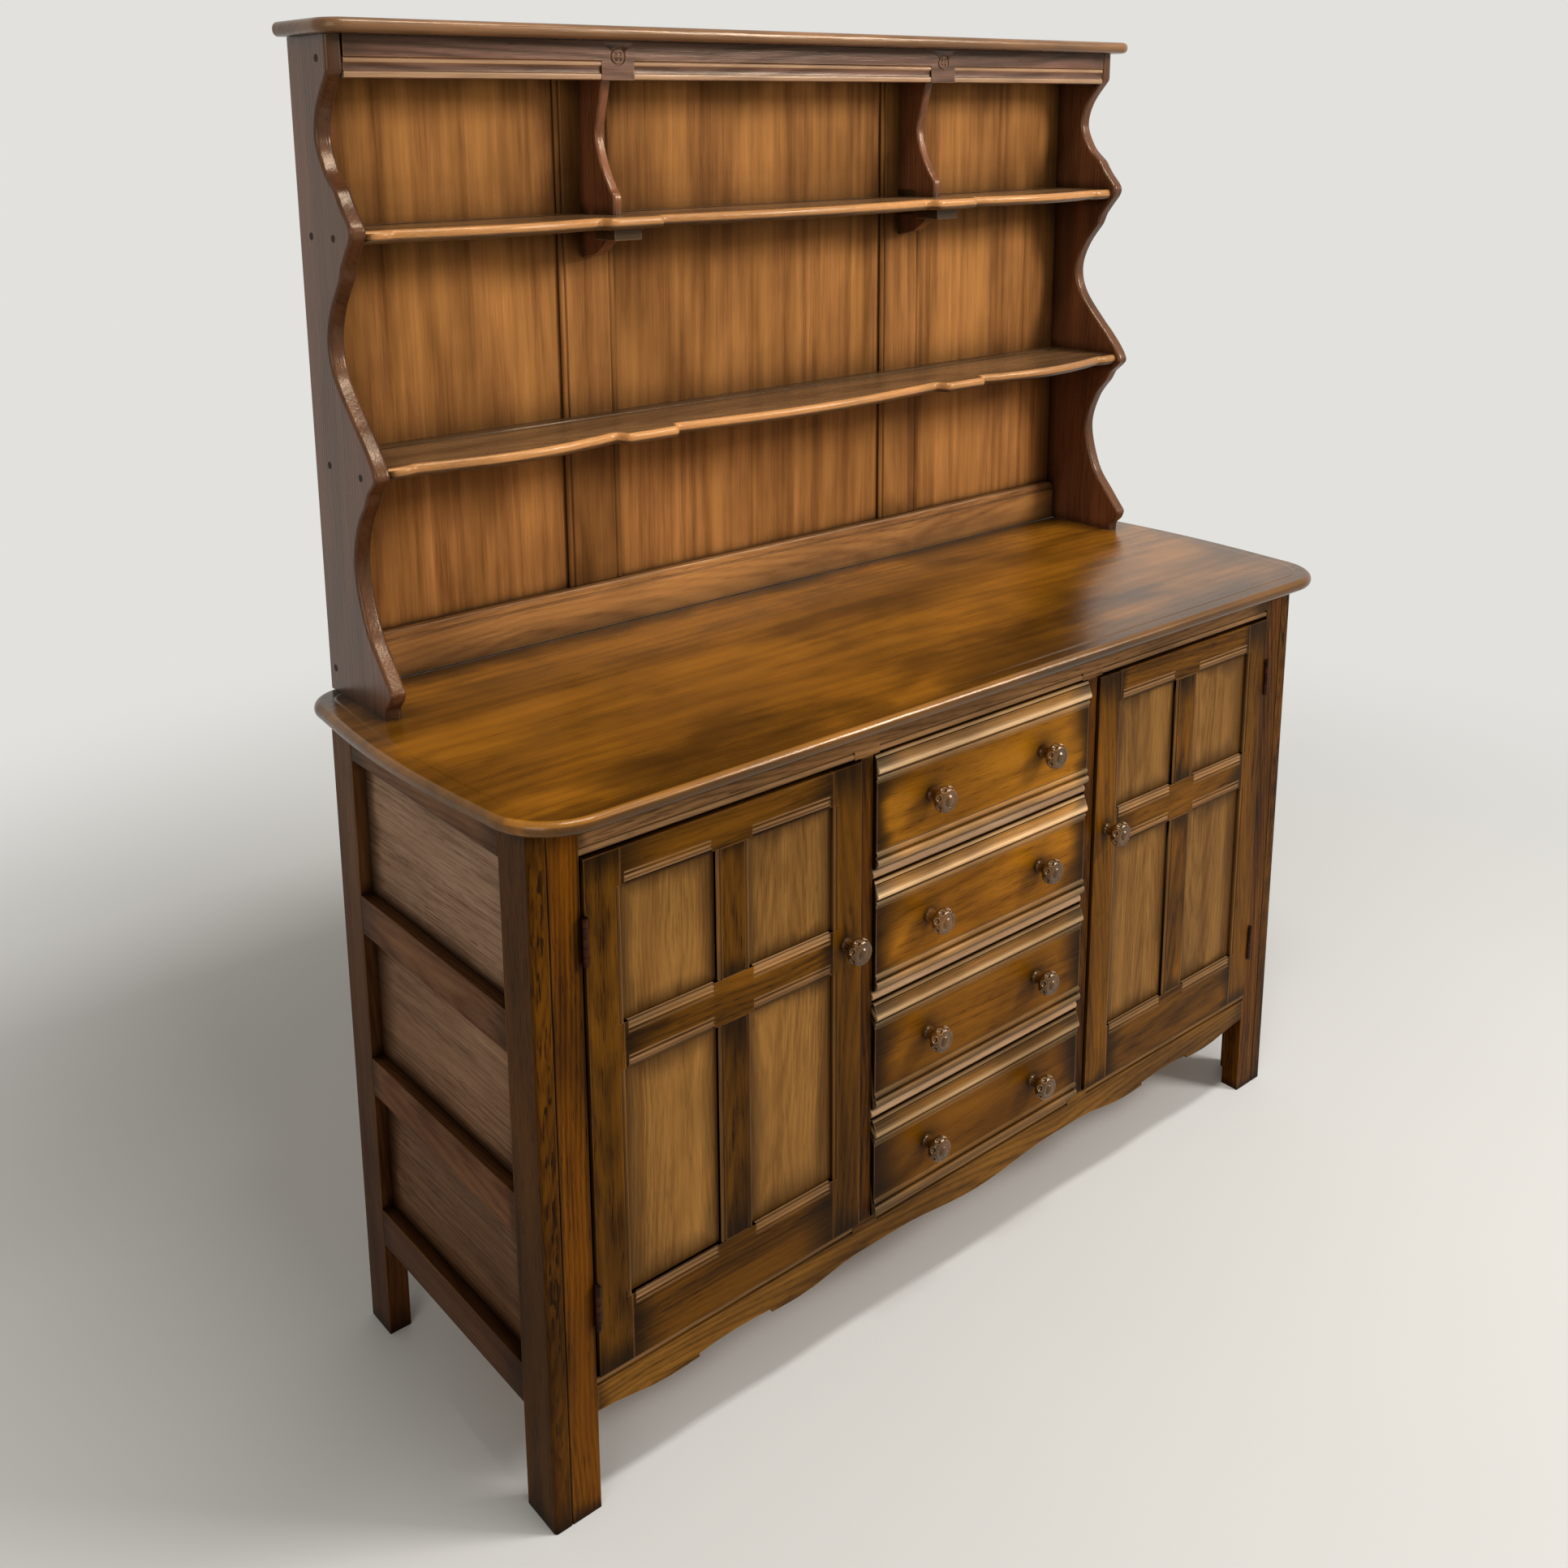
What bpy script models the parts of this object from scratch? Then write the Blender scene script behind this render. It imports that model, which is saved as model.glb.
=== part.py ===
import math

import bmesh
import bpy
from mathutils import Matrix, Vector

# Kitchen dresser: a base with two panelled doors and four drawers, and an open shelf gallery on its worktop.
# Sizes are in metres. X runs from left to right, Y from front to back and Z up from the floor.
# The origin is on the floor under the middle of the worktop.

# Clearances
SEAT_GAP = 0.0003  # between two pieces that touch
DOOR_GAP = 0.002  # round each door
DRAWER_GAP = 0.0015  # round each drawer front
DRAWER_PLAY = 0.002  # between a drawer's box and the partitions

# Carcass and worktop
CARCASS_WIDTH = 1.336
CARCASS_DEPTH = 0.440
CARCASS_HEIGHT = 0.835
WORKTOP_THICKNESS = 0.018
WORKTOP_END_OVERHANG = 0.040
WORKTOP_FRONT_OVERHANG = 0.050
WORKTOP_BACK_OVERHANG = 0.020
WORKTOP_END_BOW = 0.012
WORKTOP_FRONT_RADIUS = 0.080
WORKTOP_BACK_RADIUS = 0.050
WORKTOP_EDGE_BAND = 0.0225  # width of the rounded band that runs round the top
WORKTOP_EDGE_STEP = 0.0015  # drop from the flat top to that band

# Posts, which are also the legs
POST_WIDTH = 0.0605
POST_STRIP_WIDTH = 0.0225
POST_STRIP_DEPTH = 0.057
POST_STILE_DEPTH = 0.029
POST_GROOVE_WIDTH = 0.002
POST_GROOVE_DEPTH = 0.0025
POST_CORNER_ROUND = 0.004
BACK_POST_WIDTH = 0.030
BACK_POST_DEPTH = 0.050

# Side frames
SIDE_RAIL_HEIGHT = 0.050
SIDE_RAIL_THICKNESS = 0.016
SIDE_PANEL_THICKNESS = 0.0055
SIDE_FRAME_BOTTOM = 0.133
SIDE_RAIL_DROP = 0.005  # the two middle rails sit this much below the thirds
BOARD_EASE = 0.0008

# Front frame
FRAME_THICKNESS = 0.022
TOP_RAIL_HEIGHT = 0.048
INNER_STILE_WIDTH = 0.020
DRAWER_BAY_WIDTH = 0.391
DUST_BOARD_THICKNESS = 0.012
DUST_BOARD_PROUD = 0.002
APRON_TOP = 0.168
APRON_THICKNESS = 0.020
APRON_DEPTH = 0.042  # from the apron's top down to its lower edge at a stile
APRON_LOBE_DROP = 0.011  # below the plain edge, in a door bay
APRON_CUSP_DROP = 0.005
APRON_MIDDLE_DROP = 0.002
APRON_BULGE_DROP = 0.0115  # in the drawer bay
APRON_BULGE_WIDTH = 0.300
FRAME_BEAD_STOP = 0.010  # a frame's bead stops this far short of each stile
PARTITION_THICKNESS = 0.018
FLOOR_THICKNESS = 0.016
BACK_BOARD_THICKNESS = 0.006

# Doors
DOOR_PROUD = 0.0045
DOOR_THICKNESS = 0.020
DOOR_EDGE_ROUND = 0.002
DOOR_STILE_WIDTH = 0.045
DOOR_TOP_RAIL_HEIGHT = 0.043
DOOR_BOTTOM_RAIL_HEIGHT = 0.0835
DOOR_MIDDLE_RAIL_HEIGHT = 0.055
DOOR_MUNTIN_WIDTH = 0.046
DOOR_UPPER_LIGHT_HEIGHT = 0.157
DOOR_PANEL_RECESS = 0.0055
DOOR_PANEL_THICKNESS = 0.006
DOOR_PANEL_LAP = 0.018  # how far the panel runs under the frame
DOOR_MOULDING_STOP = 0.005
DOOR_KNOB_FROM_EDGE = 0.025
DOOR_KNOB_RISE = 0.004  # above the middle of the middle rail

# Hinges
HINGE_LENGTH = 0.055
HINGE_RADIUS = 0.0035
HINGE_PROUD = 0.001  # pin axis in front of the door's face
HINGE_LEAF_THICKNESS = 0.001
HINGE_LEAF_WIDTH = 0.016
HINGE_FROM_END = 0.063  # from a door's top or bottom edge to the hinge

# Drawers
BOTTOM_DRAWER_CUT = 0.012  # the bottom drawer is this much lower than the others
DRAWER_FIELD_PROUD = 0.0048
DRAWER_FRONT_THICKNESS = 0.0155  # behind the face of the frame
DRAWER_WALL = 0.010
DRAWER_BOTTOM_THICKNESS = 0.006
DRAWER_BOX_DROP = 0.022  # from the front's top edge down to the box's top edge
DRAWER_BACK_CLEARANCE = 0.020
DRAWER_KNOB_SPACING = 0.204

# Knobs
KNOB_DIAMETER = 0.034
KNOB_LENGTH = 0.033
KNOB_STEM_DIAMETER = 0.0165

# Gallery
GALLERY_WIDTH = 1.311
GALLERY_TOP = 1.6075
GALLERY_SIDE_THICKNESS = 0.020
GALLERY_REAR_INSET = 0.0025  # from the worktop's rear edge
GALLERY_FOOT_DEPTH = 0.1576
GALLERY_FOOT_HEIGHT = 0.033
UPPER_NOSE_DEPTH = 0.1264
LOWER_NOSE_DEPTH = 0.1489
GALLERY_TOP_DEPTH = 0.094
UPPER_HOLLOW_DEPTH = 0.0564
MIDDLE_HOLLOW_DEPTH = 0.0551
LOWER_HOLLOW_DEPTH = 0.0858
GALLERY_EDGE_ROUND = 0.004
GALLERY_BACK_THICKNESS = 0.008
GALLERY_MUNTIN_WIDTH = 0.084
GALLERY_MUNTIN_THICKNESS = 0.005

# Shelves
UPPER_SHELF_TOP = 1.401
LOWER_SHELF_TOP = 1.142
SHELF_THICKNESS = 0.0155
SHELF_NOSE_SETBACK = 0.009  # the ends of a shelf stay behind the side's nose
SHELF_TAB_WIDTH = 0.078
SHELF_END_TAB_WIDTH = 0.029
SHELF_TAB_PROUD = 0.013  # a tab in front of the shelf's ends
SHELF_STEP = 0.018  # back from a tab to the start of a bow
SHELF_STEP_RUN = 0.006
SHELF_BOW = 0.021  # forward from the ends of a bow to its middle

# Dividers over the upper shelf
DIVIDER_SPACING = 0.560
DIVIDER_THICKNESS = 0.014
DIVIDER_FOOT_DEPTH = 0.073
DIVIDER_HOLLOW_DEPTH = 0.038
DIVIDER_TOP_DEPTH = 0.055
DIVIDER_TAIL_DROP = 0.040  # below the upper shelf
DIVIDER_TAIL_DEPTH = 0.064
DIVIDER_HALVING_DEPTH = 0.034
DIVIDER_BLOCK_WIDTH = 0.041
DIVIDER_BLOCK_HEIGHT = 0.0145
DIVIDER_BLOCK_DEPTH = 0.094

# Cornice, frieze and upstand
CORNICE_THICKNESS = 0.016
CORNICE_END_OVERHANG = 0.016
CORNICE_DEPTH = 0.127
CORNICE_CORNER_RADIUS = 0.030
FRIEZE_HEIGHT = 0.0455
FRIEZE_THICKNESS = 0.018
FRIEZE_PLAIN_WIDTH = 0.047
FRIEZE_MOULDING_HEIGHT = 0.023
UPSTAND_HEIGHT = 0.062
UPSTAND_THICKNESS = 0.012
UPSTAND_CORNER_RADIUS = 0.012

# Places that follow from the sizes
WORKTOP_WIDTH = CARCASS_WIDTH + 2 * WORKTOP_END_OVERHANG
WORKTOP_DEPTH = CARCASS_DEPTH + WORKTOP_FRONT_OVERHANG + WORKTOP_BACK_OVERHANG
WORKTOP_TOP = CARCASS_HEIGHT + WORKTOP_THICKNESS
FRONT_Y = WORKTOP_FRONT_OVERHANG - WORKTOP_DEPTH / 2
BACK_Y = FRONT_Y + CARCASS_DEPTH
OUTER_X = CARCASS_WIDTH / 2
POST_INNER_X = OUTER_X - POST_WIDTH
PANEL_INNER_X = OUTER_X - SIDE_RAIL_THICKNESS - SEAT_GAP - SIDE_PANEL_THICKNESS
BACK_POST_INNER_X = OUTER_X - BACK_POST_WIDTH
BACK_POST_Y = BACK_Y - BACK_POST_DEPTH
BACK_BOARD_Y = BACK_Y - BACK_BOARD_THICKNESS
DRAWER_BAY_X = DRAWER_BAY_WIDTH / 2
STILE_OUTER_X = DRAWER_BAY_X + INNER_STILE_WIDTH
DOOR_BAY_WIDTH = POST_INNER_X - STILE_OUTER_X
DOOR_BAY_X = (POST_INNER_X + STILE_OUTER_X) / 2
TOP_RAIL_Z = CARCASS_HEIGHT - TOP_RAIL_HEIGHT
FLOOR_TOP = APRON_TOP
DOOR_BOTTOM = APRON_TOP + DOOR_GAP
DOOR_TOP = TOP_RAIL_Z - DOOR_GAP
DOOR_INNER_X = STILE_OUTER_X + DOOR_GAP
DOOR_OUTER_X = POST_INNER_X - DOOR_GAP
DOOR_FACE_Y = FRONT_Y - DOOR_PROUD
HINGE_X = POST_INNER_X - DOOR_GAP / 2
HINGE_Y = DOOR_FACE_Y - HINGE_PROUD
GALLERY_REAR_Y = WORKTOP_DEPTH / 2 - GALLERY_REAR_INSET
GALLERY_INNER_X = GALLERY_WIDTH / 2 - GALLERY_SIDE_THICKNESS
GALLERY_BACK_Y = GALLERY_REAR_Y - GALLERY_BACK_THICKNESS
MUNTIN_Y = GALLERY_BACK_Y - GALLERY_MUNTIN_THICKNESS
FRIEZE_BOTTOM = GALLERY_TOP - FRIEZE_HEIGHT
FRIEZE_FRONT_Y = GALLERY_REAR_Y - GALLERY_TOP_DEPTH
UPSTAND_TOP = WORKTOP_TOP + UPSTAND_HEIGHT
SIDES = (("left", -1), ("right", 1))


# Materials

def wood(name, colour, roughness, metallic=0.0):
    material = bpy.data.materials.new(name)
    material.use_nodes = True
    shader = material.node_tree.nodes["Principled BSDF"]
    shader.inputs["Base Color"].default_value = (*colour, 1.0)
    shader.inputs["Roughness"].default_value = roughness
    shader.inputs["Metallic"].default_value = metallic
    material.diffuse_color = (*colour, 1.0)
    return material


def make_materials():
    return {
        "top": wood("worktop_wood", (0.20, 0.082, 0.020), 0.30),
        "frame": wood("frame_wood", (0.115, 0.045, 0.012), 0.38),
        "panel": wood("panel_wood", (0.26, 0.125, 0.042), 0.45),
        "drawer": wood("drawer_wood", (0.19, 0.085, 0.018), 0.35),
        "gallery": wood("gallery_wood", (0.10, 0.036, 0.012), 0.38),
        "backing": wood("backing_wood", (0.24, 0.098, 0.022), 0.42),
        "inside": wood("inside_wood", (0.30, 0.17, 0.075), 0.60),
        "knob": wood("knob_wood", (0.12, 0.060, 0.030), 0.30),
        "hinge": wood("hinge_steel", (0.06, 0.045, 0.035), 0.45, 0.9),
    }


# Meshes and objects

def clear_scene():
    for item in list(bpy.data.objects):
        bpy.data.objects.remove(item)


def empty(name, place):
    item = bpy.data.objects.new(name, None)
    item.location = place
    bpy.context.scene.collection.objects.link(item)
    return item


def piece(name, shape, material, place=(0.0, 0.0, 0.0), parent=None):
    """One object whose mesh was drawn in world coordinates, with its origin moved to the given place."""
    bmesh.ops.recalc_face_normals(shape, faces=shape.faces)
    mesh = bpy.data.meshes.new(name)
    shape.to_mesh(mesh)
    shape.free()
    mesh.transform(Matrix.Translation(-Vector(place)))
    mesh.materials.append(material)
    item = bpy.data.objects.new(name, mesh)
    item.location = place
    bpy.context.scene.collection.objects.link(item)
    if parent is not None:
        item.parent = parent
        item.location = Vector(place) - parent.location
    return item


def smooth(item, angle=math.radians(35)):
    item.data.shade_smooth()
    item.data.set_sharp_from_angle(angle=angle)


def boolean(item, name, shape, operation="DIFFERENCE"):
    """Cuts a shape away from an object, or joins it on. The helper object is hidden from renders."""
    bmesh.ops.recalc_face_normals(shape, faces=shape.faces)
    mesh = bpy.data.meshes.new(name)
    shape.to_mesh(mesh)
    shape.free()
    helper = bpy.data.objects.new(name, mesh)
    helper.hide_render = True
    helper.display_type = "WIRE"
    bpy.context.scene.collection.objects.link(helper)
    modifier = item.modifiers.new(name, "BOOLEAN")
    modifier.object = helper
    modifier.operation = operation
    modifier.solver = "EXACT"


def add_loft(shape, rings):
    """Skins closed rings that all have the same number of points, and caps both ends."""
    made = [[shape.verts.new(point) for point in ring] for ring in rings]
    for lower, upper in zip(made, made[1:]):
        for i in range(len(lower)):
            j = (i + 1) % len(lower)
            shape.faces.new((lower[i], lower[j], upper[j], upper[i]))
    shape.faces.new(list(reversed(made[0])))
    shape.faces.new(made[-1])
    return shape


def in_space(axis, first, second, along):
    """A point of a flat outline, put at a distance along the axis that the outline is square to."""
    if axis == "X":
        return (along, first, second)
    if axis == "Y":
        return (first, along, second)
    return (first, second, along)


def add_prism(shape, outline, axis, start, end):
    rings = [[in_space(axis, *point, along) for point in outline] for along in (start, end)]
    return add_loft(shape, rings)


def add_box(shape, low, high):
    outline = ((low[0], low[1]), (high[0], low[1]), (high[0], high[1]), (low[0], high[1]))
    return add_prism(shape, outline, "Z", low[2], high[2])


def board(name, low, high, material, ease=0.0, parent=None):
    """A plain board between two corners, with its origin at its middle."""
    low, high = zip(*(sorted(pair) for pair in zip(low, high)))
    middle = tuple((a + b) / 2 for a, b in zip(low, high))
    item = piece(name, add_box(bmesh.new(), low, high), material, middle, parent)
    if ease:
        bevel = item.modifiers.new("eased_edges", "BEVEL")
        bevel.width = ease
        bevel.segments = 1
    return item


def curve_through(points, steps):
    """A smooth curve through every point, with this many steps from each one to the next."""
    padded = [points[0], *points, points[-1]]
    found = [points[0]]
    for a, b, c, d in zip(padded, padded[1:], padded[2:], padded[3:]):
        for i in range(1, steps + 1):
            t = i / steps
            found.append(tuple(
                0.5 * (2 * b[k] + (c[k] - a[k]) * t
                       + (2 * a[k] - 5 * b[k] + 4 * c[k] - d[k]) * t**2
                       + (3 * b[k] - a[k] - 3 * c[k] + d[k]) * t**3)
                for k in range(2)))
    return found


def area(outline):
    turned = outline[1:] + outline[:1]
    return sum(a[0] * b[1] - b[0] * a[1] for a, b in zip(outline, turned)) / 2


def inset(outline, rounded, distance):
    """Moves the rounded points of an outline towards its inside."""
    turn = math.copysign(1.0, area(outline))
    moved = []
    for i, point in enumerate(outline):
        if not rounded[i]:
            moved.append(point)
            continue
        before = outline[i - 1]
        after = outline[(i + 1) % len(outline)]
        run = Vector((after[0] - before[0], after[1] - before[1])).normalized()
        moved.append((point[0] - turn * distance * run.y, point[1] + turn * distance * run.x))
    return moved


def rounding(radius, thickness, steps):
    """Insets and heights up the edge of a board, for an edge that is rounded on both faces."""
    quarter = [math.pi / 2 * i / steps for i in range(steps + 1)]
    lower = [(radius * (1 - math.sin(a)), radius * (1 - math.cos(a))) for a in quarter]
    return lower + [(depth, thickness - height) for depth, height in reversed(lower)]


def add_rounded_board(shape, outline, rounded, axis, start, edge):
    """A board whose rounded points follow an edge profile of insets and heights from its first face."""
    rings = []
    for depth, height in edge:
        ring = inset(outline, rounded, depth)
        rings.append([in_space(axis, *point, start + height) for point in ring])
    return add_loft(shape, rings)


def add_edge_cutter(shape, axis, start, end, edge, away, face, profile, reach=0.002):
    """The waste of one moulding. Its profile holds distances from the edge and depths below the face."""
    points = [(-reach, profile[0][1]), *profile, (profile[-1][0], -reach), (-reach, -reach)]
    outline = []
    for distance, depth in points:
        across = edge + away * distance
        inward = face + depth
        outline.append((inward, across) if axis == "X" else (across, inward))
    return add_prism(shape, outline, axis, start, end)


def turned(name, profile, segments, material, petals=0, petal_depth=0.0, petal_rings=()):
    """A knob turned on the Y axis, from radii and distances forward, with shallow petals round its face."""
    shape = bmesh.new()
    rings = []
    for index, (radius, forward) in enumerate(profile):
        ring = []
        for i in range(segments):
            angle = 2 * math.pi * i / segments
            sink = petal_depth * (1 - math.cos(petals * angle)) / 2 if index in petal_rings else 0.0
            ring.append((radius * math.cos(angle), sink - forward, radius * math.sin(angle)))
        rings.append(ring)
    add_loft(shape, rings)
    item = piece(name, shape, material)
    smooth(item, math.radians(50))
    return item


# Worktop

def worktop_outline(bow_steps=6, corner_steps=5):
    """Straight front and back, ends that bow out a little, and rounded corners."""
    half_width = WORKTOP_WIDTH / 2
    half_depth = WORKTOP_DEPTH / 2
    corners = (
        (-1, -1, WORKTOP_FRONT_RADIUS, 180),
        (1, -1, WORKTOP_FRONT_RADIUS, 270),
        (1, 1, WORKTOP_BACK_RADIUS, 0),
        (-1, 1, WORKTOP_BACK_RADIUS, 90),
    )
    outline = []
    for side, end, radius, turn in corners:
        middle_x = side * (half_width - WORKTOP_END_BOW - radius)
        middle_y = end * (half_depth - radius)
        for i in range(corner_steps + 1):
            angle = math.radians(turn + 90 * i / corner_steps)
            outline.append((middle_x + radius * math.cos(angle), middle_y + radius * math.sin(angle)))
        if (side, end) in ((1, -1), (-1, 1)):
            next_radius = WORKTOP_BACK_RADIUS if end < 0 else WORKTOP_FRONT_RADIUS
            first = middle_y
            last = -end * (half_depth - next_radius)
            for i in range(1, bow_steps):
                share = i / bow_steps
                bow = WORKTOP_END_BOW * math.sin(math.pi * share)
                outline.append((side * (half_width - WORKTOP_END_BOW + bow), first + (last - first) * share))
    return outline


def make_worktop(materials):
    outline = worktop_outline()
    band_top = WORKTOP_THICKNESS - WORKTOP_EDGE_STEP
    edge = [
        (0.010, 0.0),
        (0.0045, band_top * 0.09),
        (0.0012, band_top * 0.28),
        (0.0, band_top * 0.5),
        (0.0012, band_top * 0.74),
        (0.0050, band_top * 0.94),
        (0.0100, band_top),
        (WORKTOP_EDGE_BAND, band_top),
        (WORKTOP_EDGE_BAND + WORKTOP_EDGE_STEP, WORKTOP_THICKNESS),
    ]
    rounded = [True] * len(outline)
    bottom = CARCASS_HEIGHT
    shape = add_rounded_board(bmesh.new(), outline, rounded, "Z", bottom, edge)
    item = piece("worktop", shape, materials["top"], (0.0, 0.0, bottom))
    smooth(item)


# Base carcass

def make_front_post(label, side, materials):
    """One corner post: a narrow strip and a wide stile with a groove between them, L-shaped in plan."""
    groove_middle = POST_STRIP_WIDTH
    half_groove = POST_GROOVE_WIDTH / 2
    strip_back = groove_middle + half_groove
    corner = [
        (POST_CORNER_ROUND * (1 - math.sin(a)), POST_CORNER_ROUND * (1 - math.cos(a)))
        for a in (0.0, math.pi / 6, math.pi / 3, math.pi / 2)
    ]
    plan = [
        *reversed(corner),
        (groove_middle - half_groove, 0.0),
        (groove_middle, POST_GROOVE_DEPTH),
        (groove_middle + half_groove, 0.0),
        (POST_WIDTH - BOARD_EASE, 0.0),
        (POST_WIDTH, BOARD_EASE),
        (POST_WIDTH, POST_STILE_DEPTH),
        (strip_back, POST_STILE_DEPTH),
        (strip_back, POST_STRIP_DEPTH),
        (0.0, POST_STRIP_DEPTH),
    ]
    outline = [(side * (OUTER_X - inward), FRONT_Y + backward) for inward, backward in plan]
    shape = add_prism(bmesh.new(), outline, "Z", 0.0, CARCASS_HEIGHT - SEAT_GAP)
    place = (side * (OUTER_X - POST_STRIP_WIDTH / 2), FRONT_Y + POST_STILE_DEPTH / 2, 0.0)
    item = piece("front_post_" + label, shape, materials["frame"], place)
    smooth(item)


def make_side_frame(label, side, materials):
    """The rear post, four rails and the panel behind the rails."""
    top = CARCASS_HEIGHT - SEAT_GAP
    board(
        "back_post_" + label,
        (side * OUTER_X, BACK_POST_Y, 0.0),
        (side * BACK_POST_INNER_X, BACK_Y, top),
        materials["frame"],
        BOARD_EASE,
    )
    front = FRONT_Y + POST_STRIP_DEPTH + SEAT_GAP
    back = BACK_POST_Y - SEAT_GAP
    lowest = SIDE_FRAME_BOTTOM
    highest = CARCASS_HEIGHT - SIDE_RAIL_HEIGHT
    pitch = (highest - lowest) / 3
    rails = (
        ("bottom", lowest, lowest + SIDE_RAIL_HEIGHT),
        ("lower", lowest + pitch - SIDE_RAIL_DROP, lowest + pitch - SIDE_RAIL_DROP + SIDE_RAIL_HEIGHT),
        ("upper", lowest + 2 * pitch - SIDE_RAIL_DROP, lowest + 2 * pitch - SIDE_RAIL_DROP + SIDE_RAIL_HEIGHT),
        ("top", highest, top),
    )
    for name, low, high in rails:
        board(
            f"side_rail_{name}_{label}",
            (side * OUTER_X, front, low),
            (side * (OUTER_X - SIDE_RAIL_THICKNESS), back, high),
            materials["frame"],
            BOARD_EASE,
        )
    board(
        "side_panel_" + label,
        (side * (OUTER_X - SIDE_RAIL_THICKNESS - SEAT_GAP), front, lowest),
        (side * PANEL_INNER_X, back, top),
        materials["panel"],
    )


FRAME_BEAD = (
    (0.0, 0.0030),
    (0.0008, 0.0012),
    (0.0028, 0.0003),
    (0.0052, 0.0003),
    (0.0072, 0.0012),
    (0.0080, 0.0024),
    (0.0092, 0.0024),
    (0.0105, 0.0),
)


def bead_runs():
    """Start and end of the bead over each bay of the front frame."""
    return (
        (-POST_INNER_X + SEAT_GAP, -STILE_OUTER_X - FRAME_BEAD_STOP),
        (-DRAWER_BAY_X + FRAME_BEAD_STOP, DRAWER_BAY_X - FRAME_BEAD_STOP),
        (STILE_OUTER_X + FRAME_BEAD_STOP, POST_INNER_X - SEAT_GAP),
    )


def make_top_rail(materials):
    reach = POST_INNER_X - SEAT_GAP
    item = board(
        "top_rail",
        (-reach, FRONT_Y, TOP_RAIL_Z),
        (reach, FRONT_Y + FRAME_THICKNESS, CARCASS_HEIGHT - SEAT_GAP),
        materials["frame"],
    )
    waste = bmesh.new()
    for start, end in bead_runs():
        add_edge_cutter(waste, "X", start, end, TOP_RAIL_Z, 1, FRONT_Y, FRAME_BEAD)
    boolean(item, "top_rail_bead", waste)


def apron_edge(x):
    """Drop of the apron's lower edge below its plain height, at a place along the front."""
    away = abs(x)
    if away <= DRAWER_BAY_X:
        share = min(1.0, away / (APRON_BULGE_WIDTH / 2))
        return APRON_BULGE_DROP * (1 + math.cos(math.pi * share)) / 2
    share = min(1.0, abs(away - DOOR_BAY_X) / (DOOR_BAY_WIDTH / 2))
    cusp = 0.28
    if share < cusp:
        return APRON_MIDDLE_DROP + (APRON_CUSP_DROP - APRON_MIDDLE_DROP) * (share / cusp) ** 2
    lobe = 0.5
    if share < lobe:
        rise = (lobe - share) / (lobe - cusp)
        return APRON_LOBE_DROP * (1 - 0.12 * rise**2)
    return APRON_LOBE_DROP * (1 + math.cos(math.pi * (share - lobe) / (1 - lobe))) / 2


def make_apron(materials):
    reach = POST_INNER_X - SEAT_GAP
    places = [-reach, reach]
    for side in (-1, 1):
        half = DOOR_BAY_WIDTH / 2
        shares = [-1, -0.88, -0.75, -0.62, -0.5, -0.39, -0.2805, -0.2795, -0.15]
        shares += [0.0] + [-share for share in reversed(shares)]
        places += [side * DOOR_BAY_X + share * half for share in shares]
    steps = 6
    places += [APRON_BULGE_WIDTH / 2 * i / steps for i in range(-steps, steps + 1)]
    places = sorted(x for x in set(places) if abs(x) <= reach)
    plain = APRON_TOP - APRON_DEPTH
    outline = [(x, plain - apron_edge(x)) for x in places]
    outline += [(reach, APRON_TOP), (-reach, APRON_TOP)]
    shape = add_prism(bmesh.new(), outline, "Y", FRONT_Y, FRONT_Y + APRON_THICKNESS)
    item = piece("apron", shape, materials["frame"], (0.0, FRONT_Y, APRON_TOP))
    waste = bmesh.new()
    for start, end in bead_runs():
        add_edge_cutter(waste, "X", start, end, APRON_TOP, -1, FRONT_Y, FRAME_BEAD)
    boolean(item, "apron_bead", waste)


def drawer_levels():
    """Bottom and top of each drawer's opening, from the top one down."""
    boards = 3 * DUST_BOARD_THICKNESS
    height = (TOP_RAIL_Z - APRON_TOP - boards + BOTTOM_DRAWER_CUT) / 4
    levels = []
    top = TOP_RAIL_Z
    for _ in range(3):
        levels.append((top - height, top))
        top -= height + DUST_BOARD_THICKNESS
    levels.append((APRON_TOP, top))
    return levels


def make_front_frame(materials):
    """Inner stiles, the partitions behind them, and the boards that the drawers slide on."""
    for label, side in SIDES:
        board(
            "inner_stile_" + label,
            (side * DRAWER_BAY_X, FRONT_Y, APRON_TOP + SEAT_GAP),
            (side * STILE_OUTER_X, FRONT_Y + FRAME_THICKNESS, TOP_RAIL_Z - SEAT_GAP),
            materials["frame"],
            BOARD_EASE,
        )
        board(
            "partition_" + label,
            (side * DRAWER_BAY_X, FRONT_Y + FRAME_THICKNESS + SEAT_GAP, FLOOR_TOP + SEAT_GAP),
            (side * (DRAWER_BAY_X + PARTITION_THICKNESS), BACK_BOARD_Y - SEAT_GAP, CARCASS_HEIGHT - SEAT_GAP),
            materials["inside"],
        )
    half = DUST_BOARD_THICKNESS / 2
    nose = [
        (FRONT_Y - DUST_BOARD_PROUD + half * (1 - math.cos(a)), half * math.sin(a))
        for a in (math.pi / 2 * i / 4 for i in range(-4, 5))
    ]
    back = BACK_BOARD_Y - SEAT_GAP
    reach = DRAWER_BAY_X - SEAT_GAP
    for number, (low, _) in enumerate(drawer_levels()[:3], start=1):
        middle = low - half
        outline = [(y, middle + z) for y, z in nose] + [(back, middle + half), (back, middle - half)]
        shape = add_prism(bmesh.new(), outline, "X", -reach, reach)
        item = piece(f"drawer_rail_{number}", shape, materials["frame"], (0.0, FRONT_Y, middle))
        smooth(item)


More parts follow.
